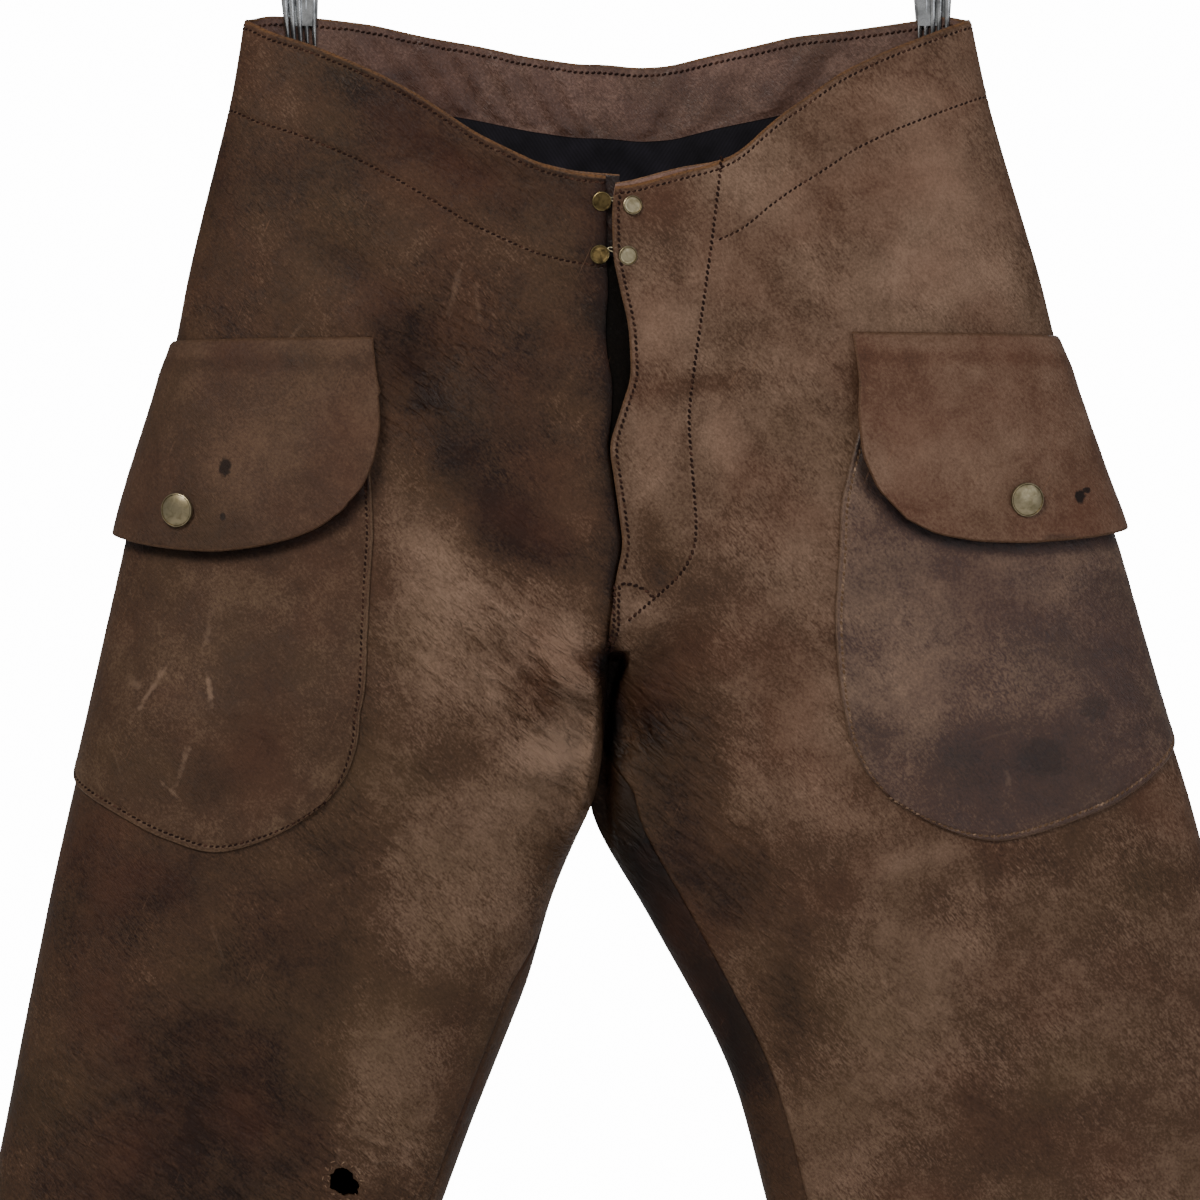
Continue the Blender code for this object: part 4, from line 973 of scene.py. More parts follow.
# Where the hide is finely wrinkled: x, z, half width, half height, tilt, strength
crumpled = {
    "front": (
        (-24, -520, 34, 30, 20, 1), (-70, -490, 60, 40, 30, 0.6), (-12, -590, 26, 50, 0, 0.7),
        (-110, -600, 60, 50, -20, 0.5), (-96, -345, 60, 40, 40, 0.5),
        (-60, -240, 60, 30, -20, 0.3), (-230, -760, 70, 70, 30, 0.45),
        (-130, -790, 60, 40, 0, 0.6), (40, -560, 40, 50, 0, 0.5), (70, -650, 50, 60, 10, 0.4),
        (120, -480, 60, 60, 0, 0.25), (190, -720, 80, 50, 10, 0.35), (-260, -960, 90, 60, 10, 0.6),
        (260, -960, 90, 60, -10, 0.6),
    ),
    "back": (
        (0, -430, 90, 50, 0, 0.5), (-90, -590, 80, 40, -10, 0.9), (90, -590, 80, 40, 10, 0.8),
        (-230, -920, 90, 70, 0, 0.9), (240, -930, 90, 70, 0, 0.9), (-120, -260, 90, 30, 10, 0.3),
    ),
}


# tone, warmth and wrinkles of a sheet's points; the wearer's left side is the paler one
def tonesOf(surface, points):
    x, z = points[..., 0], points[..., 2]
    tones = {"tone": 0.12 + 0.16 * ease(0.5 + x / 60.0), "warm": 0 * x, "crumple": 0.08 + 0 * x}
    for keys, rows in ((("tone", "warm"), tonesAndPaintedLight[surface]),
                       (("crumple",), crumpled.get(surface, ()))):
        for px, pz, wide, tall, tilt, *amounts in rows:
            along, over = turned(x - px, z - pz, tilt)
            share = bell(np.hypot(along / wide, over / tall))
            for key, amount in zip(keys, amounts):
                tones[key] += amount * share
    return tones


# sRGB hex to the linear colour that a shader takes
def colour(hexValue):
    channels = [int(hexValue[i:i + 2], 16) / 255 for i in (0, 2, 4)]
    linear = [c / 12.92 if c <= 0.04045 else ((c + 0.055) / 1.055) ** 2.4 for c in channels]
    return (*linear, 1)


def newMaterial(name):
    material = bpy.data.materials.new(name)
    material.use_nodes = True
    tree = material.node_tree
    return material, tree, tree.nodes["Principled BSDF"]


# gives a node's inputs their values; a value that is a socket is linked, any other is set
def feed(tree, node, **sockets):
    for key, value in sockets.items():
        key = int(key[1:]) if key[0] == "_" else key.replace("_", " ")
        if isinstance(value, bpy.types.NodeSocket):
            tree.links.new(value, node.inputs[key])
        else:
            node.inputs[key].default_value = value


# adds a node with its settings and its inputs
def add(tree, kind, settings=None, **sockets):
    node = tree.nodes.new("ShaderNode" + kind)
    for key, value in (settings or {}).items():
        setattr(node, key, value)
    feed(tree, node, **sockets)
    return node


def blendOf(tree, first, second, share, mode="MIX"):
    return add(tree, "Mix", {"data_type": "RGBA", "blend_type": mode, "clamp_factor": True},
               _0=share, _6=first, _7=second).outputs[2]


def sums(tree, first, second, operation="ADD"):
    return add(tree, "Math", {"operation": operation}, _0=first, _1=second).outputs[0]


def times(tree, first, second):
    return sums(tree, first, second, "MULTIPLY")


def ramp(tree, value, start, end, low=0.0, high=1.0):
    return add(tree, "MapRange", {"clamp": True}, Value=value, From_Min=start, From_Max=end,
               To_Min=low, To_Max=high).outputs["Result"]


# places as seen from axes moved and turned about the front-to-back one, scaled in millimetres
def mapped(tree, place, sizes, degrees=0.0, x=0.0, z=0.0):
    return add(tree, "Mapping", {"vector_type": 'TEXTURE'}, Vector=place,
               Location=(mm * x, 0.0, mm * z), Rotation=(0.0, math.radians(degrees), 0.0),
               Scale=[mm * size for size in sizes]).outputs[0]


# a noise in millimetres; size is one number, or three with a turn about the front-to-back axis
def grainOf(tree, place, size, detail=4.0, rough=0.55, twist=0.0, turn=0.0):
    sizes = size if isinstance(size, tuple) else (size, size, size)
    return add(tree, "TexNoise", Vector=mapped(tree, place, sizes, turn), Scale=1.0, Detail=detail,
               Roughness=rough, Distortion=twist).outputs["Fac"]


# a surface's normal raised by each height in turn: height, strength, distance in metres
def bumpOf(tree, *layers):
    under = {}
    for height, strength, distance in layers:
        bump = add(tree, "Bump", Height=height, Strength=strength, Distance=distance, **under)
        under = {"Normal": bump.outputs["Normal"]}
    return under["Normal"]


# share of a mark at x, z: an oval with a ragged edge, or a scratch when it is very thin
def markAt(tree, place, x, z, wide, tall, tilt, ragged, rough, soft):
    flat = mapped(tree, place, (wide, 50000.0, tall), tilt, x, z)
    reach = add(tree, "VectorMath", {"operation": 'LENGTH'}, _0=flat).outputs["Value"]
    reach = sums(tree, reach, ramp(tree, rough, 0.25, 0.75, -ragged, ragged))
    return ramp(tree, reach, 1.0 + 0.3 * soft, 0.9 - 0.7 * soft)


# scuffs (False) and stains (True): colour, swell of the width, raggedness, softness, share
marking = {False: ("826a58", 1.2, 0.9, 1.0, 0.32), True: ("120a08", 1.0, 0.3, 0.2, -1.0)}
leatherLook = {
    "dark": "190b05", "mid": "432f21", "light": "786151", "olive": "433420", "red": "532f20",
    "raw": "6e4c2e", "oldCut": "4c3828",        # the waist's fresh cut edges, and the worn ones
    "cloud": 90.0, "flecks": 0.6, "lines": 0.5, "gloss": 0.0, "shine": 0.16,
    "curved": False,                            # has the pressed line of the curved stitches
    "marks": (),
}


# Oiled nubuck cowhide: dull and cloudy, darker where the oil has drawn in and paler where it is
# rubbed, with painted light and shade carried in by the tone attribute, a slanting hair-fine grain,
# stray scratches and a few stains
def oiledNubuck(name, **changes):
    material, tree, shader = newMaterial(name)
    look = {**leatherLook, **changes}
    place = add(tree, "TexCoord").outputs["Object"]
    tone, warm, rawEdge, sewn, crumple, curve = [
        add(tree, "Attribute", {"attribute_name": key}).outputs["Fac"]
        for key in ("tone", "warm", "raw", "sewn", "crumple", "curve")]
    cloud = grainOf(tree, place, look["cloud"], 3.0, 0.6, 0.6)
    smudge = grainOf(tree, place, 24.0, 4.0, 0.68, 0.5)
    slant = grainOf(tree, place, (0.95, 3.0, 4.2), 2.0, 0.66, 1.0, -38)     # half again too coarse
    speck = grainOf(tree, place, 1.5, 1.0, 0.75)
    ragged = grainOf(tree, place, 4.0, 2.0)
    patchy = grainOf(tree, place, 34.0, 2.0)
    # a net of fine creases, leaning and wandering
    lean = mapped(tree, place, (2.1, 6.0, 7.4), -42.9718)
    wander = add(tree, "TexNoise", Vector=lean, Scale=0.9, Detail=1.0)
    lean = blendOf(tree, lean, wander.outputs["Color"], 0.5, "ADD")
    creased = add(tree, "TexVoronoi", {"feature": 'DISTANCE_TO_EDGE'}, Vector=lean,
                  Scale=1.0).outputs["Distance"]
    # the wearer's left side has weaker flecks
    flecks = times(tree, ramp(tree, slant, 0.3, 0.72, -1.0), ramp(tree, patchy, 0.35, 0.65, 0.25))
    flecks = times(tree, flecks, ramp(tree, warm, 0.0, 0.2, look["flecks"], 0.5 * look["flecks"]))
    lines = times(tree, ramp(tree, creased, 0.0, 0.09, -0.5, 0.06),
                  ramp(tree, patchy, 0.42, 0.62, 0.1))
    # fine slanting wrinkles, only where the hide is crumpled
    valley = grainOf(tree, place, (4.2, 12.0, 15.0), 2.0, 0.5, 0.5, -52)
    valley = times(tree, ramp(tree, valley, 0.32, 0.62, -1.0, 0.5), crumple)
    total = ramp(tree, cloud, 0.25, 0.75, -0.38, 0.38)
    for part in (ramp(tree, smudge, 0.25, 0.75, -0.36, 0.36), tone, flecks,
                 ramp(tree, speck, 0.3, 0.7, -0.24, 0.24), times(tree, lines, look["lines"]),
                 ramp(tree, sewn, 0.3, 1.0, 0.0, 0.5), times(tree, valley, 0.3)):
        total = sums(tree, total, part)
    if look["curved"]:
        # the pressed line under the curved stitches of the left front is rubbed paler
        pressed = sums(tree, ramp(tree, curve, -1.3, -0.2), ramp(tree, curve, 1.3, 0.2), "MINIMUM")
        total = sums(tree, total, times(tree, pressed, 0.35))
    hue = sums(tree, warm, ramp(tree, grainOf(tree, place, 60.0, 2.0), 0.3, 0.7, -0.5, 0.5))
    base = colour(look["mid"])
    # the near-black third shade is for the deepest tones, mostly painted shadow: between the legs
    # and where the left front laps over the right
    for shade, share in ((look["dark"], ramp(tree, total, 0.0, -1.1)),
                         (look["light"], ramp(tree, total, 0.0, 1.2)),
                         ("070403", ramp(tree, total, -1.2, -2.6)),
                         (look["olive"], ramp(tree, hue, 0.0, -1.4, 0.0, 0.6)),
                         (look["red"], ramp(tree, hue, 0.0, 1.4, 0.0, 0.5))):
        base = blendOf(tree, base, colour(shade), share)
    # stray rubs: long thin streaks of a paler tan, here and there
    hairs = grainOf(tree, place, (1.1, 9.0, 26.0), 2.0, 0.5, 0.4, 24)
    hairs = times(tree, ramp(tree, hairs, 0.68, 0.76), ramp(tree, patchy, 0.52, 0.62))
    base = blendOf(tree, base, colour("86634a"), times(tree, hairs, 0.2))
    for x, z, wide, tall, tilt, strength in look["marks"]:
        shade, swell, raggedness, soft, share = marking[strength < 0]
        mark = markAt(tree, place, x, z, wide * swell, tall, tilt, raggedness, ragged, soft)
        base = blendOf(tree, base, colour(shade), times(tree, mark, share * strength))
    # cut edges: fibres, tan where the cut is fresh
    fibre = grainOf(tree, place, (1.6, 0.8, 0.7), 1.0, 0.7)
    fresh = sums(tree, rawEdge, ramp(tree, smudge, 0.3, 0.7, -0.2, 0.2))
    cut = blendOf(tree, colour(look["oldCut"]), colour(look["raw"]), ramp(tree, fresh, 0.45, 1.0))
    cut = blendOf(tree, cut, colour("2f1c10"), ramp(tree, fibre, 0.56, 0.3, 0.0, 0.85))
    rough = sums(tree, ramp(tree, smudge, 0.3, 0.7, 0.5, 0.68),
                 ramp(tree, total, -1, 1, -0.08, 0.08))
    base = blendOf(tree, base, cut, ramp(tree, rawEdge, 0.3, 0.6, 0.0, 0.92))
    feed(tree, shader, Base_Color=base, Roughness=sums(tree, rough, look["gloss"], "SUBTRACT"),
         Specular_IOR_Level=look["shine"],
         Normal=bumpOf(tree, (grainOf(tree, place, 1.2, 1.0), 0.3, 0.0004), (slant, 0.6, 0.0011),
                       (valley, 0.7, 0.0018), (grainOf(tree, place, 11.0, 3.0), 0.5, 0.0022)))
    return material


# Thin black cotton lining, plain woven: dull, with a faint slanting rib
def wovenCotton(name):
    material, tree, shader = newMaterial(name)
    place = add(tree, "TexCoord").outputs["UV"]
    weave = add(tree, "TexWave", {"wave_type": 'BANDS', "bands_direction": 'DIAGONAL'},
                Vector=place, Scale=260.0, Distortion=0.4).outputs["Fac"]      # 3 times too coarse
    base = blendOf(tree, colour("0e0d11"), colour("201e25"),
                   ramp(tree, grainOf(tree, place, 18.0), 0.3, 0.7))
    base = blendOf(tree, base, colour("050506"), ramp(tree, weave, 0, 1, 0.35, 0))
    feed(tree, shader, Base_Color=base, Roughness=0.8, Specular_IOR_Level=0.12,
         Normal=bumpOf(tree, (weave, 0.2, 0.0003)))
    return material


# Worn metal, cast or drawn: bright where it is rubbed, dull and dark in its low places
def wornMetal(name, bright, dull, rough, size):
    material, tree, shader = newMaterial(name)
    place = add(tree, "TexCoord").outputs["Object"]
    tarnish = grainOf(tree, place, size, 5.0, 0.65, 0.5)
    fine = grainOf(tree, place, size / 6, 3.0)
    feed(tree, shader, Metallic=1.0,
         Base_Color=blendOf(tree, colour(bright), colour(dull), ramp(tree, tarnish, 0.42, 0.66)),
         Roughness=ramp(tree, tarnish, 0.3, 0.7, rough, rough + 0.25),
         Normal=bumpOf(tree, (fine, 0.25, 0.0001)))
    return material


# Twisted polyester thread, waxed: dark, with a slight gleam and paler worn places
def waxedThread(name, shade, worn):
    material, tree, shader = newMaterial(name)
    rub = grainOf(tree, add(tree, "TexCoord").outputs["Object"], 5.0, 4.0, 0.7)
    base = blendOf(tree, colour(shade), colour(worn), ramp(tree, rub, 0.5, 0.72, 0.0, 0.8))
    feed(tree, shader, Base_Color=base, Roughness=0.6, Specular_IOR_Level=0.08)
    return material


# Scuffs and stains by material: x, z, half width, half height, tilt in degrees, strength. A scuff
# is paler than the hide; a stain, with a minus strength, is nearly black.
scuffs = {
    "front": (
        (-166, -331, 0.7, 11, 40, 0.4), (-78, -305, 1.5, 16, 14, 0.55),
        (-66, -317, 1.1, 11, -8, 0.45), (178, -253, 0.7, 12, 35, 0.35),
        (150, -322, 0.6, 10, -30, 0.3), (-125, -765, 1.8, 17, -71, 0.6),
        (-141, -773, 1, 6, 8, 0.45), (205, -690, 0.7, 12, 20, 0.3),
        (-205, -660, 0.6, 12, -20, 0.3), (118, -264, 0.6, 8, 60, 0.35),
        (192, -232, 3.5, 5, 0, 0.35), (-300, -900, 0.8, 16, 30, 0.3),
        (290, -1080, 0.8, 14, -25, 0.3),
    ),
    "back": (
        (-120, -420, 0.8, 16, 30, 0.4), (150, -380, 0.8, 13, -40, 0.35),
        (-250, -860, 0.8, 18, 20, 0.4), (260, -780, 0.7, 14, -15, 0.3), (90, -500, 5, 7, 10, -0.4),
        (-60, -300, 0.7, 12, 70, 0.3),
    ),
    "pocketRight": (
        (-243, -524, 1.1, 13, 32, 1.3), (-210, -524, 1.3, 8, -12, 1.5),
        (-224, -562, 1.4, 12, 22, 1.1), (-230, -578, 1, 6, -50, 1.1), (-252, -520, 2, 5, -60, 0.8),
        (-212, -492, 1.6, 12, 10, 0.7), (-262, -560, 0.6, 10, -20, 0.35),
        (-250, -533, 0.5, 16, 60, 0.3), (-187, -597, 0.6, 6, 10, 0.3),
    ),
    "pocketLeft": (
        (220, -571, 1.3, 5, -12, 0.6), (214, -548, 0.6, 14, 75, 0.25),
        (240, -560, 14, 11, 30, -0.35), (176, -545, 0.5, 9, 30, 0.3),
        (152, -492, 0.5, 12, 50, 0.3), (262, -515, 0.5, 10, -60, 0.25), (268, -533, 9, 8, 0, -0.4),
    ),
    "flapRight": (
        (-202.8, -403, 3.6, 5.2, 10, -0.85), (-203.5, -430, 1.6, 2.4, 0, -0.8),
        (-188, -372, 0.6, 12, 80, 0.3), (-160, -420, 0.5, 9, 30, 0.25),
    ),
    "flapLeft": (
        (260.8, -418.8, 3.2, 4.4, 15, -0.95), (264.6, -415.2, 2.4, 1.7, 0, -0.9),
        (250, -443, 12, 4, 5, -0.4), (191, -346, 0.6, 16, -66, 0.5),
        (227, -364, 0.5, 10, 70, 0.25), (158, -402, 0.5, 8, 40, 0.3),
    ),
}
paint = {
    "front": oiledNubuck("oiledNubuckFront", marks=scuffs["front"], curved=True),
    "back": oiledNubuck("oiledNubuckBack", marks=scuffs["back"], mid="402c1e"),
    "pocketRight": oiledNubuck(
        "oiledNubuckPocketRight", marks=scuffs["pocketRight"], mid="402d20", light="6e5947",
        flecks=0.3, lines=0.2, oldCut="6b5543", raw="755c47"),
    # the smoothest and most oiled piece: purple-grey, with a little gloss
    "pocketLeft": oiledNubuck(
        "oiledNubuckPocketLeft", marks=scuffs["pocketLeft"], mid="3d2a22", light="77604f",
        dark="1a0f10", olive="3d3022", red="46291f", oldCut="5c4839", raw="6b5543", gloss=0.1,
        shine=0.3, flecks=0.34),
    "flapRight": oiledNubuck(
        "oiledNubuckFlapRight", marks=scuffs["flapRight"], mid="402d21", light="67503f",
        flecks=0.18, lines=0.15, raw="4a3526"),
    "flapLeft": oiledNubuck(
        "oiledNubuckFlapLeft", marks=scuffs["flapLeft"], mid="4f3628", flecks=0.3, lines=0.15,
        raw="543c2b"),
    # the waist facing is the grain side out, smoother and a little glossy
    "facing": oiledNubuck("smoothGrainFacing", mid="513a31", light="8a6d60", dark="241512",
                          gloss=0.12, shine=0.3, cloud=45.0, flecks=0.14),
    # the underlap lies in the fly's shadow; its near-black colour is painted shadow
    "underlap": oiledNubuck("underlapPaintedShadow", mid="080503", light="120b07", dark="030201",
                            olive="080503", red="0a0503", shine=0.05),
    "lining": wovenCotton("blackLiningCotton"),
    "brass": wornMetal("antiqueBrass", "7f714c", "3a301d", 0.3, 4.0),
    "paleBrass": wornMetal("paleAntiqueBrass", "8c8269", "6e654c", 0.3, 4.0),
    "tarnish": wornMetal("tarnishedBrass", "574a2f", "2e2617", 0.45, 4.0),
    "brassWire": wornMetal("brightBrassWire", "cfc5a4", "7c6c45", 0.2, 4.0),
    "steel": wornMetal("brightSteelWire", "c9cbcc", "77797a", 0.16, 9.0),
    "thread": waxedThread("waxedThreadBrown", "1d100d", "5a3d30"),
    "paleThread": waxedThread("waxedThreadWorn", "54402f", "a68d78"),
    "fibre": waxedThread("tornLeatherFibre", "6b5443", "a08a72"),
}


# selects the faces of the piece in edit mode that pass a test
def pick(piece, test):
    form = bmesh.from_edit_mesh(piece.data)
    for face in form.faces:
        face.select_set(bool(test(face)))
    form.select_flush_mode()
    bmesh.update_edit_mesh(piece.data)


# starts editing the faces of the active piece, and gives the piece back
def editFaces():
    bpy.ops.object.mode_set(mode='EDIT')
    bpy.ops.mesh.select_mode(type='FACE')
    return bpy.context.object


# draws the picked faces out by some millimetres, and then resizes them
def extrude(move, scale):
    bpy.ops.mesh.extrude_region_move(TRANSFORM_OT_translate={"value": [mm * step for step in move]})
    bpy.ops.transform.resize(value=scale)


# finishes a piece: its place goes into its mesh, and it rides with the trousers
def settle(piece, name, material, node=None, smooth=40):
    bpy.ops.object.mode_set(mode='OBJECT')
    bpy.ops.object.select_all(action='DESELECT')
    piece.select_set(True)
    bpy.context.view_layer.objects.active = piece
    bpy.ops.object.transform_apply(location=True, rotation=True, scale=True)
    bpy.ops.object.shade_smooth_by_angle(angle=math.radians(smooth))
    piece.name = name
    piece.data.materials.append(material)
    if node:
        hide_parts(node)
    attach(piece, "root")
    bpy.ops.object.select_all(action='DESELECT')


# One stitch of thick waxed thread: a plump strand whose two ends dip into the leather
stitch = {
    "length": 2.8, "radius": 0.75, "pitch": 3.3, "slant": 24.0, "dip": 0.7,
    "sink": 0.1,            # how deep the strand's middle lies in its furrow
    "ends": ((0.18, 0.86, 0.3), (0.10, 0.6, 0.7)),      # shares of length, thickness and dip
}


def makeStitch():
    bpy.ops.object.select_all(action='DESELECT')
    bpy.ops.mesh.primitive_cylinder_add(
        vertices=6, radius=mm * stitch["radius"], depth=mm * 0.45 * stitch["length"],
        end_fill_type='NGON', rotation=(0.0, math.pi / 2, 0.0))
    bpy.ops.object.transform_apply(rotation=True)
    strand = editFaces()
    for end in (stitch["length"], -stitch["length"]):
        for push, shrink, dip in stitch["ends"]:
            pick(strand, lambda face: face.normal.x * end > 0.8 * stitch["length"])
            extrude((end * push, 0.0, -dip * stitch["dip"]), (1.0, shrink, shrink))
    bpy.ops.object.mode_set(mode='OBJECT')
    return strand


# A row of copies of the stitch along a line on the leather. thin is a share of the thread's
# thickness, and swing how far each stitch turns from the slant.
def threadRow(name, line, seed, material="thread", pitch=stitch["pitch"], thin=1.0, swing=4.0):
    path, normals = line
    shape = np.array([vert.co[:] for vert in stitchPiece.data.vertices]) / mm
    loops = [list(face.vertices) for face in stitchPiece.data.polygons]
    reach = lengthAlong(path)
    count = int(reach[-1] / pitch)
    dice = np.random.RandomState(seed)
    places = (np.arange(count) + 0.5) * reach[-1] / count + dice.uniform(-0.12, 0.12, count)
    middle, out = valuesAt(places, reach, path), valuesAt(places, reach, normals)
    along = valuesAt(places + 0.8, reach, path) - valuesAt(places - 0.8, reach, path)
    along /= lengths(along, True)
    out -= along * np.sum(out * along, axis=1, keepdims=True)
    out /= lengths(out, True)
    across = np.cross(out, along)
    verts, faces = [], []
    for number in range(count):
        turn = math.radians(stitch["slant"] + dice.uniform(-swing, swing))
        x, y = shape[:, 0] * dice.uniform(0.9, 1.08), shape[:, 1] * thin
        z = shape[:, 2] * thin - stitch["sink"]
        a, b = x * math.cos(turn) - y * math.sin(turn), x * math.sin(turn) + y * math.cos(turn)
        verts.append(middle[number] + np.outer(a, along[number]) + np.outer(b, across[number])
                     + np.outer(z, out[number]))
        faces += [[corner + len(shape) * number for corner in face] for face in loops]
    mesh = bpy.data.meshes.new(name)
    mesh.from_pydata((mm * np.vstack(verts)).tolist(), [], faces)
    mesh.polygons.foreach_set("use_smooth", np.ones(len(mesh.polygons), bool))
    row = bpy.data.objects.new(name, mesh)
    bpy.context.scene.collection.objects.link(row)
    mesh.materials.append(paint[material])
    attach(row, "root")
    return count


# keeps the part of a line where a test on x and z holds
def trimmed(line, test):
    path, normals = line
    keep = test(path[:, 0], path[:, 2])
    return path[keep], normals[keep]


# a line drawn on the front at places (x, z), with the normals of the surface
def drawnOn(places, lift, leg=None):
    x, z = alongLine(places, np.linspace(0, 1, 60)).T

    def at(x, z):
        return formPoint(leg, turnAt(leg, z, x), z) if leg else facePoint("front", x, z)

    out = np.cross(at(x + 2, z) - at(x - 2, z), at(x, z - 2) - at(x, z + 2))
    out /= lengths(out, True)
    out *= np.where(out[:, 1:2] > 0, -1, 1)
    proud = flyProud(x, z)[:, None] if x[-1] > 0 else 0.0
    return at(x, z) + out * (lift + proud), out


# short pale fibres stand round the tear, in two ragged rings
def fibresAround():
    total = 0
    ring = np.linspace(0.3, 2 * math.pi + 0.1, 40)
    for name, grow, pitch in (("fibresAtTear", 1.16, 2.6), ("fibresBesideTear", 1.42, 5.2)):
        wave = grow * (1 + 0.07 * np.sin(5 * ring + 9 * grow))
        x, z = turned(wave * tear["wide"] * np.cos(ring), wave * tear["tall"] * np.sin(ring),
                      -tear["tilt"])
        line = drawnOn(np.stack([tear["x"] + x, tear["z"] + z], -1), 0.1, "right")
        total += threadRow(name, line, 39, "fibre", pitch, 0.42, 50.0)
    return total


def sewAll():
    total = 0
    edge = cloth["edgeStitch"]
    inside = (0.012, 0.988)         # the rows across the waist stop short of the panels' seams
    for side in sides:
        for face in ("front", "back"):
            name = named(face, side)
            line = lineOn(name, "top", edge, *inside)
            total += threadRow(named("threadEdge", face, side), line, 31)
            line = lineOn(name, "top", body["bandDepth"][side], *inside)
            if name == "frontLeft":
                line = trimmed(line, lambda x, z: x > flyCurve[0][0] - 3.5)
            total += threadRow(named("threadBand", face, side), line, 32)
        path, out = lineOn(named("facingBack", side), "top", edge, *inside)
        total += threadRow(named("threadInside", side), (path - out * cloth["facing"], -out), 33)
        foot = pockets[side]["pocket"][2]
        for edgeName, corner in (("first", foot[0]), ("last", foot[-1]), ("bottom", None)):
            line = lineOn(named("pocket", side), edgeName, pockets["seam"])
            if corner:
                line = trimmed(line, lambda x, z: z > corner[1] + 5)
            else:
                line = tuple(part[1:-1] for part in line)
            total += threadRow(named("threadPocket", side, edgeName), line, 34,
                               "thread" if side == "right" else "paleThread")
    total += fibresAround()
    line = trimmed(lineOn("frontLeft", "last", 3.4), lambda x, z: (z > -462) & (z < -252))
    total += threadRow("threadFlyEdge", line, 35)
    total += threadRow("threadFlyCurve", drawnOn(flyCurve, 0.15), 36)
    total += threadRow("threadTackTop", drawnOn(flyTack["top"], 0.15), 37)
    for end, shift in (("A", -1.2), ("B", 1.2)):
        line = drawnOn([(x + shift, z) for x, z in flyTack["side"]], 0.1)
        total += threadRow("threadTackSide" + end, line, 38)
    print("trousers: stitches sewn:", total)


# Caps of the waist hooks, and then the pocket snaps: rings of (radius share, height in mm) from
# the leather up, how far back their seats lie, and how each leans forward and turns. Each has its
# metal, and the shares of its radius between which it is dull.
caps = {
    "radius": 5.25,
    "rings": ((1.0, 0.9), (0.97, 1.5), (0.90, 1.7), (0.82, 1.45), (0.6, 1.5), (0.42, 1.62),
              (0.2, 1.5)),
    "lift": {"right": 0.2, "left": 1.3},
    # the right front's caps are dull inside a bright rim, the left front's pale
    "metals": {"right": ("brass", -1.0, 0.86), "left": ("paleBrass", 0.8, 0.87)},
    "leans": {("upper", "right"): (6, 4), ("upper", "left"): (-4, 10),
              ("lower", "right"): (-8, -4), ("lower", "left"): (6, 16)},
}
snaps = {
    "radius": 9.3,
    "rings": ((1.0, 1.0), (0.97, 1.6), (0.92, 1.8), (0.88, 1.5), (0.8, 1.8), (0.6, 2.3),
              (0.3, 2.7)),
    "lift": 1.8,
    "metal": ("paleBrass", 0.89, 0.93),
    "leans": {"right": (4, -20), "left": (4, 14)},
}


# the middle of a node's box
def middleOf(node):
    return [(a + b) / 2 for a, b in zip(*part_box(node))]


# a cap whose rings are drawn out one after another; seat is where it stands, front to back
def makeCap(name, node, shape, lean, seat, metal, dullFrom, dullTo):
    radius, rings = mm * shape["radius"], shape["rings"]
    x, _, z = middleOf(node)
    bpy.ops.mesh.primitive_cylinder_add(
        vertices=32, radius=radius * rings[0][0], depth=mm * rings[0][1], end_fill_type='NGON',
        location=(0.0, 0.0, mm * rings[0][1] / 2))
    cap = editFaces()
    pick(cap, lambda face: face.normal.z > 0.9)
    for (share, height), (nextShare, nextHeight) in zip(rings, rings[1:]):
        extrude((0.0, 0.0, nextHeight - height), (nextShare / share, nextShare / share, 1.0))
    bpy.ops.mesh.poke(offset=mm * 0.05)
    bpy.ops.object.mode_set(mode='OBJECT')
    cap.data.materials.append(paint[metal])
    cap.data.materials.append(paint["tarnish"])
    for face in cap.data.polygons:
        away = math.hypot(face.center.x, face.center.y) / radius
        if dullFrom < away < dullTo and face.normal.z > 0.3:
            face.material_index = 1
    forward, turn = (math.radians(angle) for angle in lean)
    cap.rotation_euler = (math.pi / 2 + forward, 0.0, turn)
    sunk = 0.7 * radius * math.sin(max(abs(forward), abs(turn)))
    cap.location = (x, seat - sunk, z)
    settle(cap, name, paint[metal], node)
    cap.data.materials.pop()


def makeFasteners():
    bpy.ops.object.select_all(action='DESELECT')
    for (level, side), lean in caps["leans"].items():
        node = f"hook_cap_{level}_{side}"
        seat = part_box(node)[1][1] - mm * caps["lift"][side]
        makeCap(named("cap", level, side), node, caps, lean, seat, *caps["metals"][side])
    for side, lean in snaps["leans"].items():
        node = "snap_" + side
        seat = middleOf(node)[1] - mm * snaps["lift"]
        makeCap(named("snap", side), node, snaps, lean, seat, *snaps["metal"])
    print("trousers: caps and snaps made")


# The hooks' bent wires, from under each cap of the left front to the right front's: x and z from
# the cap, and how far forward
hookWire = {
    "radius": 0.4, "start": (4.0, 2.2, -1.0),
    "upper": ((6, 0.2, -0.2), (3, 0.9, 0.2), (1.0, 1.6, 0.2), (0.4, 2.6, 0.1), (1.6, 3.2, 0.0),
              (6, 2.8, -0.4)),
    "lower": ((6, 2.0, 0.2), (3, 2.6, 0.7), (0.8, 3.3, 0.9), (0.2, 4.4, 0.8), (1.4, 5.2, 0.7),
              (6, 4.8, 0.0)),
}


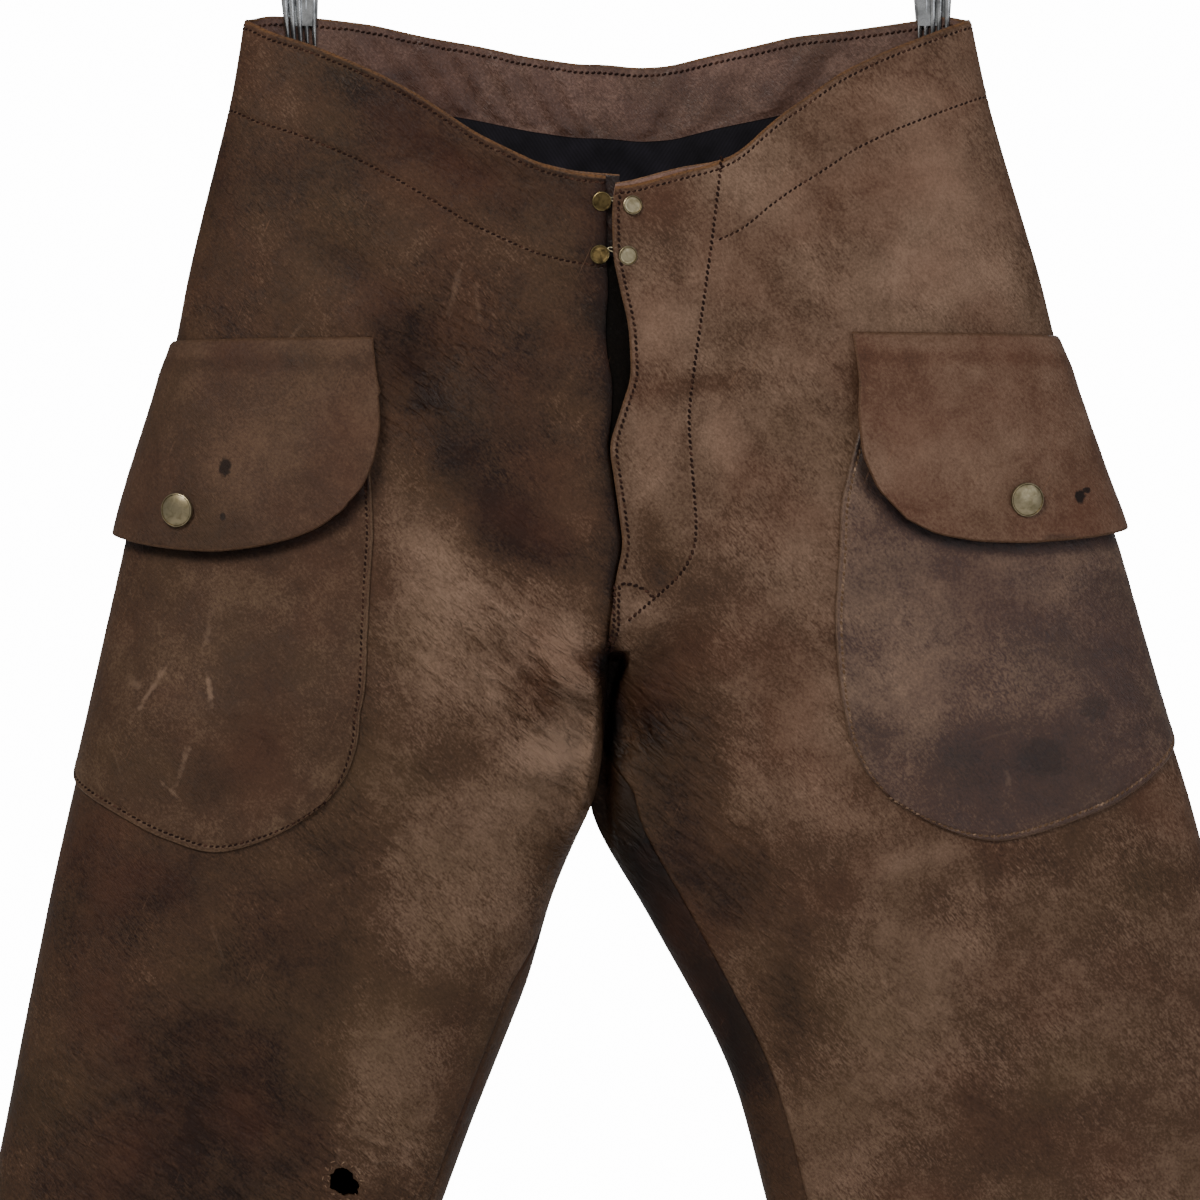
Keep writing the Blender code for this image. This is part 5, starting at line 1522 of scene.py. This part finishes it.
def makeHookWires():
    for level in ("upper", "lower"):
        node = "hook_cap_" + level + "_right"
        middle = middleOf(node)
        start = [place / mm + shift for place, shift in zip(
            (middle[0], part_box(node)[0][1], middle[2]), hookWire["start"])]
        bpy.ops.curve.primitive_nurbs_path_add(location=(0.0, 0.0, 0.0))
        wire = bpy.context.object
        spline = wire.data.splines[0]
        points = hookWire[level]
        spline.points.add(len(points) - len(spline.points))
        for point, (x, z, forward) in zip(spline.points, points):
            point.co = (mm * (start[0] + x), mm * (start[1] - forward), mm * (start[2] + z), 1.0)
        spline.use_endpoint_u = True
        spline.order_u = 3
        wire.data.dimensions = '3D'
        wire.data.bevel_depth = mm * hookWire["radius"]
        wire.data.bevel_resolution = 3
        wire.data.use_fill_caps = True
        bpy.ops.object.convert(target='MESH')
        settle(bpy.context.object, named("hookWire", level), paint["brassWire"], None, 60)
    print("trousers: hook wires bent")


# The spring clips: a folded steel block on the bar, and on each side of the waist a fluted jaw
# whose ribs taper to blunt prongs
clips = {
    "block": (22.0, 27.0, 21.0), "blockPlace": (-3.0, -96.0),
    "plate": (18.4, 1.4), "plateEnd": -157.0,
    "ribs": (-8.6, -4.6, -0.4, 3.6, 8.4), "tips": (-168.0, -169.5, -169.5, -167.0, -170.0),
    "rootRadius": 2.9, "tipRadius": 1.0, "root": -118.0, "gape": 4.6, "narrow": 0.84,
    "waist": -166.0, "seat": {1: 0.9, -1: -4.6},
    "lean": {"right": 2.4, "left": 0.4},
}


# the folded block that rides on the bar
def clipBlock(middle):
    y, z = clips["blockPlace"]
    bpy.ops.mesh.primitive_cube_add(size=1, location=(mm * middle, mm * y, mm * z))
    bpy.context.object.scale = [mm * side for side in clips["block"]]
    bpy.ops.object.transform_apply(location=False, scale=True)
    block = editFaces()
    pick(block, lambda face: abs(face.normal.y) > 0.9)
    bpy.ops.mesh.inset(thickness=mm * 2.5, depth=-mm * 1.2)
    pick(block, lambda face: face.normal.z < -0.9)
    extrude((0.0, 0.0, -9.0), (0.94, 0.8, 1.0))
    bpy.ops.mesh.select_all(action='SELECT')
    bpy.ops.mesh.bevel(offset=mm * 1.1, segments=3, affect='EDGES')
    bpy.ops.object.mode_set(mode='OBJECT')
    return block


# a tapering rib of a jaw, from its root to its blunt tip
def clipRib(root, tip):
    run = tip - root
    bpy.ops.mesh.primitive_cone_add(
        vertices=14, radius1=mm * clips["tipRadius"], radius2=mm * clips["rootRadius"],
        depth=mm * run.length, location=mm * (root + tip) / 2,
        rotation=(-run).to_track_quat('Z', 'Y').to_euler())
    rib = editFaces()
    pick(rib, lambda face: len(face.verts) > 4)
    bpy.ops.mesh.bevel(offset=mm * 0.5, segments=2, affect='EDGES')
    bpy.ops.object.mode_set(mode='OBJECT')
    return rib


# the plate that joins a jaw's ribs, along the middle one; it is as long as the way from its foot
# to the outer rib's root
def clipPlate(root, tip, outerRoot):
    run = tip - root
    foot = root + run * (clips["root"] - clips["plateEnd"]) / -run.z
    bpy.ops.mesh.primitive_cube_add(size=1, location=mm * (root + foot) / 2)
    plate = bpy.context.object
    plate.scale = [mm * size for size in (*clips["plate"], (foot - outerRoot).length)]
    plate.rotation_euler = (-math.atan2(-run.y, -run.z), 0.0, 0.0)
    editFaces()
    pick(plate, lambda face: face.normal.z < -0.9)
    bpy.ops.transform.resize(value=(0.86, 0.6, 1.0))
    bpy.ops.object.mode_set(mode='OBJECT')
    bpy.ops.object.transform_apply(location=True, rotation=True, scale=True)
    return plate


def makeClips():
    for side in sides:
        node = "clip_" + side
        middle = middleOf(node)[0] / mm
        bpy.ops.object.select_all(action='DESELECT')
        block = clipBlock(middle)
        parts = [block]
        for way in (-1, 1):
            ends = []
            for x, tipZ in zip(clips["ribs"], clips["tips"]):
                tipX = middle + clips["lean"][side] + x * clips["narrow"]
                seat = float(facePoint("back", tipX, clips["waist"])[1]) + clips["seat"][way]
                root = Vector((middle + x, seat + way * clips["gape"], clips["root"]))
                ends.append((root, Vector((tipX, seat, tipZ))))
            parts += [clipRib(*pair) for pair in ends]
            parts.append(clipPlate(*ends[len(ends) // 2], ends[-1][0]))
        for part in parts:
            part.select_set(True)
        bpy.context.view_layer.objects.active = block
        bpy.ops.object.join()
        settle(bpy.context.object, named("clip", side), paint["steel"], node, 35)
    print("trousers: clips made")


makePanels()
print("trousers: panels made")
makeInside()
print("trousers: facings and lining made")
makePockets()
print("trousers: pockets made")
stitchPiece = makeStitch()
sewAll()
bpy.data.objects.remove(stitchPiece)
makeFasteners()
makeHookWires()
makeClips()

for node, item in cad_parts.items():
    if node.startswith("hanger"):
        item.data.materials.clear()
        item.data.materials.append(paint["steel"])

# The studio: a pale floor, a pale backdrop and soft light from the front
studio = {
    "cameraDistance": 2200.0, "cameraHeight": -475.0, "lens": 120.0,
    "floor": -1262.0, "backdrop": 1500.0, "planeSize": 9.0,
    "roomLight": 0.4, "backdropGlow": 14.0,
    # place, what it is turned to, size, power, tint
    "lights": {
        "keyLight": ((-1.0, -2.2, 1.3), (0, 0, -0.6), (1.0, 0.8), 62, "fff8f0"),
        "fillLight": ((1.8, -2.2, 0.2), (0, 0, -0.7), (1.6, 1.6), 22, "f4f7ff"),
        "backLight": ((0.9, 2.6, 1.2), (0, 0, -0.6), (1.2, 1.0), 26, "fbfaff"),
    },
}


def studioPlane(name, place, turn, shade, glow):
    bpy.ops.mesh.primitive_plane_add(size=studio["planeSize"], location=place, rotation=turn)
    plane = bpy.context.object
    plane.name = name
    material, tree, shader = newMaterial(name + "Paper")
    feed(tree, shader, Base_Color=colour(shade), Roughness=0.9, Emission_Color=colour(shade),
         Emission_Strength=glow)
    plane.data.materials.append(material)
    if glow:
        # clear from behind, so that it never hides the trousers, and lighting only what is seen
        behind = add(tree, "NewGeometry").outputs["Backfacing"]
        clear = add(tree, "BsdfTransparent").outputs[0]
        ends = add(tree, "MixShader", _0=behind, _1=shader.outputs[0], _2=clear)
        feed(tree, tree.nodes["Material Output"], Surface=ends.outputs[0])
        plane.visible_diffuse = plane.visible_glossy = plane.visible_shadow = False


def softLight(name, place, target, size, power, tint):
    data = bpy.data.lights.new(name, 'AREA')
    data.shape = 'RECTANGLE'
    data.size, data.size_y = size
    data.energy = power
    data.color = colour(tint)[:3]
    light = bpy.data.objects.new(name, data)
    light.location = place
    light.rotation_euler = (Vector(target) - Vector(place)).to_track_quat('-Z', 'Y').to_euler()
    bpy.context.scene.collection.objects.link(light)


studioPlane("floor", (0, 0, mm * studio["floor"]), (0, 0, 0), "f2f1ef", 0.0)
studioPlane("backdrop", (0, mm * studio["backdrop"], 2.5), (math.pi / 2, 0, 0), "ffffff",
            studio["backdropGlow"])

world = bpy.data.worlds.new("softRoom")
world.use_nodes = True
feed(world.node_tree, world.node_tree.nodes["Background"], Color=(1, 1, 1, 1),
     Strength=studio["roomLight"])
bpy.context.scene.world = world
for lightName, settings in studio["lights"].items():
    softLight(lightName, *settings)

camera = bpy.data.objects.new("camera", bpy.data.cameras.new("camera"))
bpy.context.scene.collection.objects.link(camera)
camera.data.lens = studio["lens"]
camera.data.sensor_width = 36
camera.location = (0, mm * (body["seamPlane"] - studio["cameraDistance"]),
                   mm * studio["cameraHeight"])
camera.rotation_euler = (math.pi / 2, 0, 0)
bpy.context.scene.camera = camera
print("trousers: studio set")
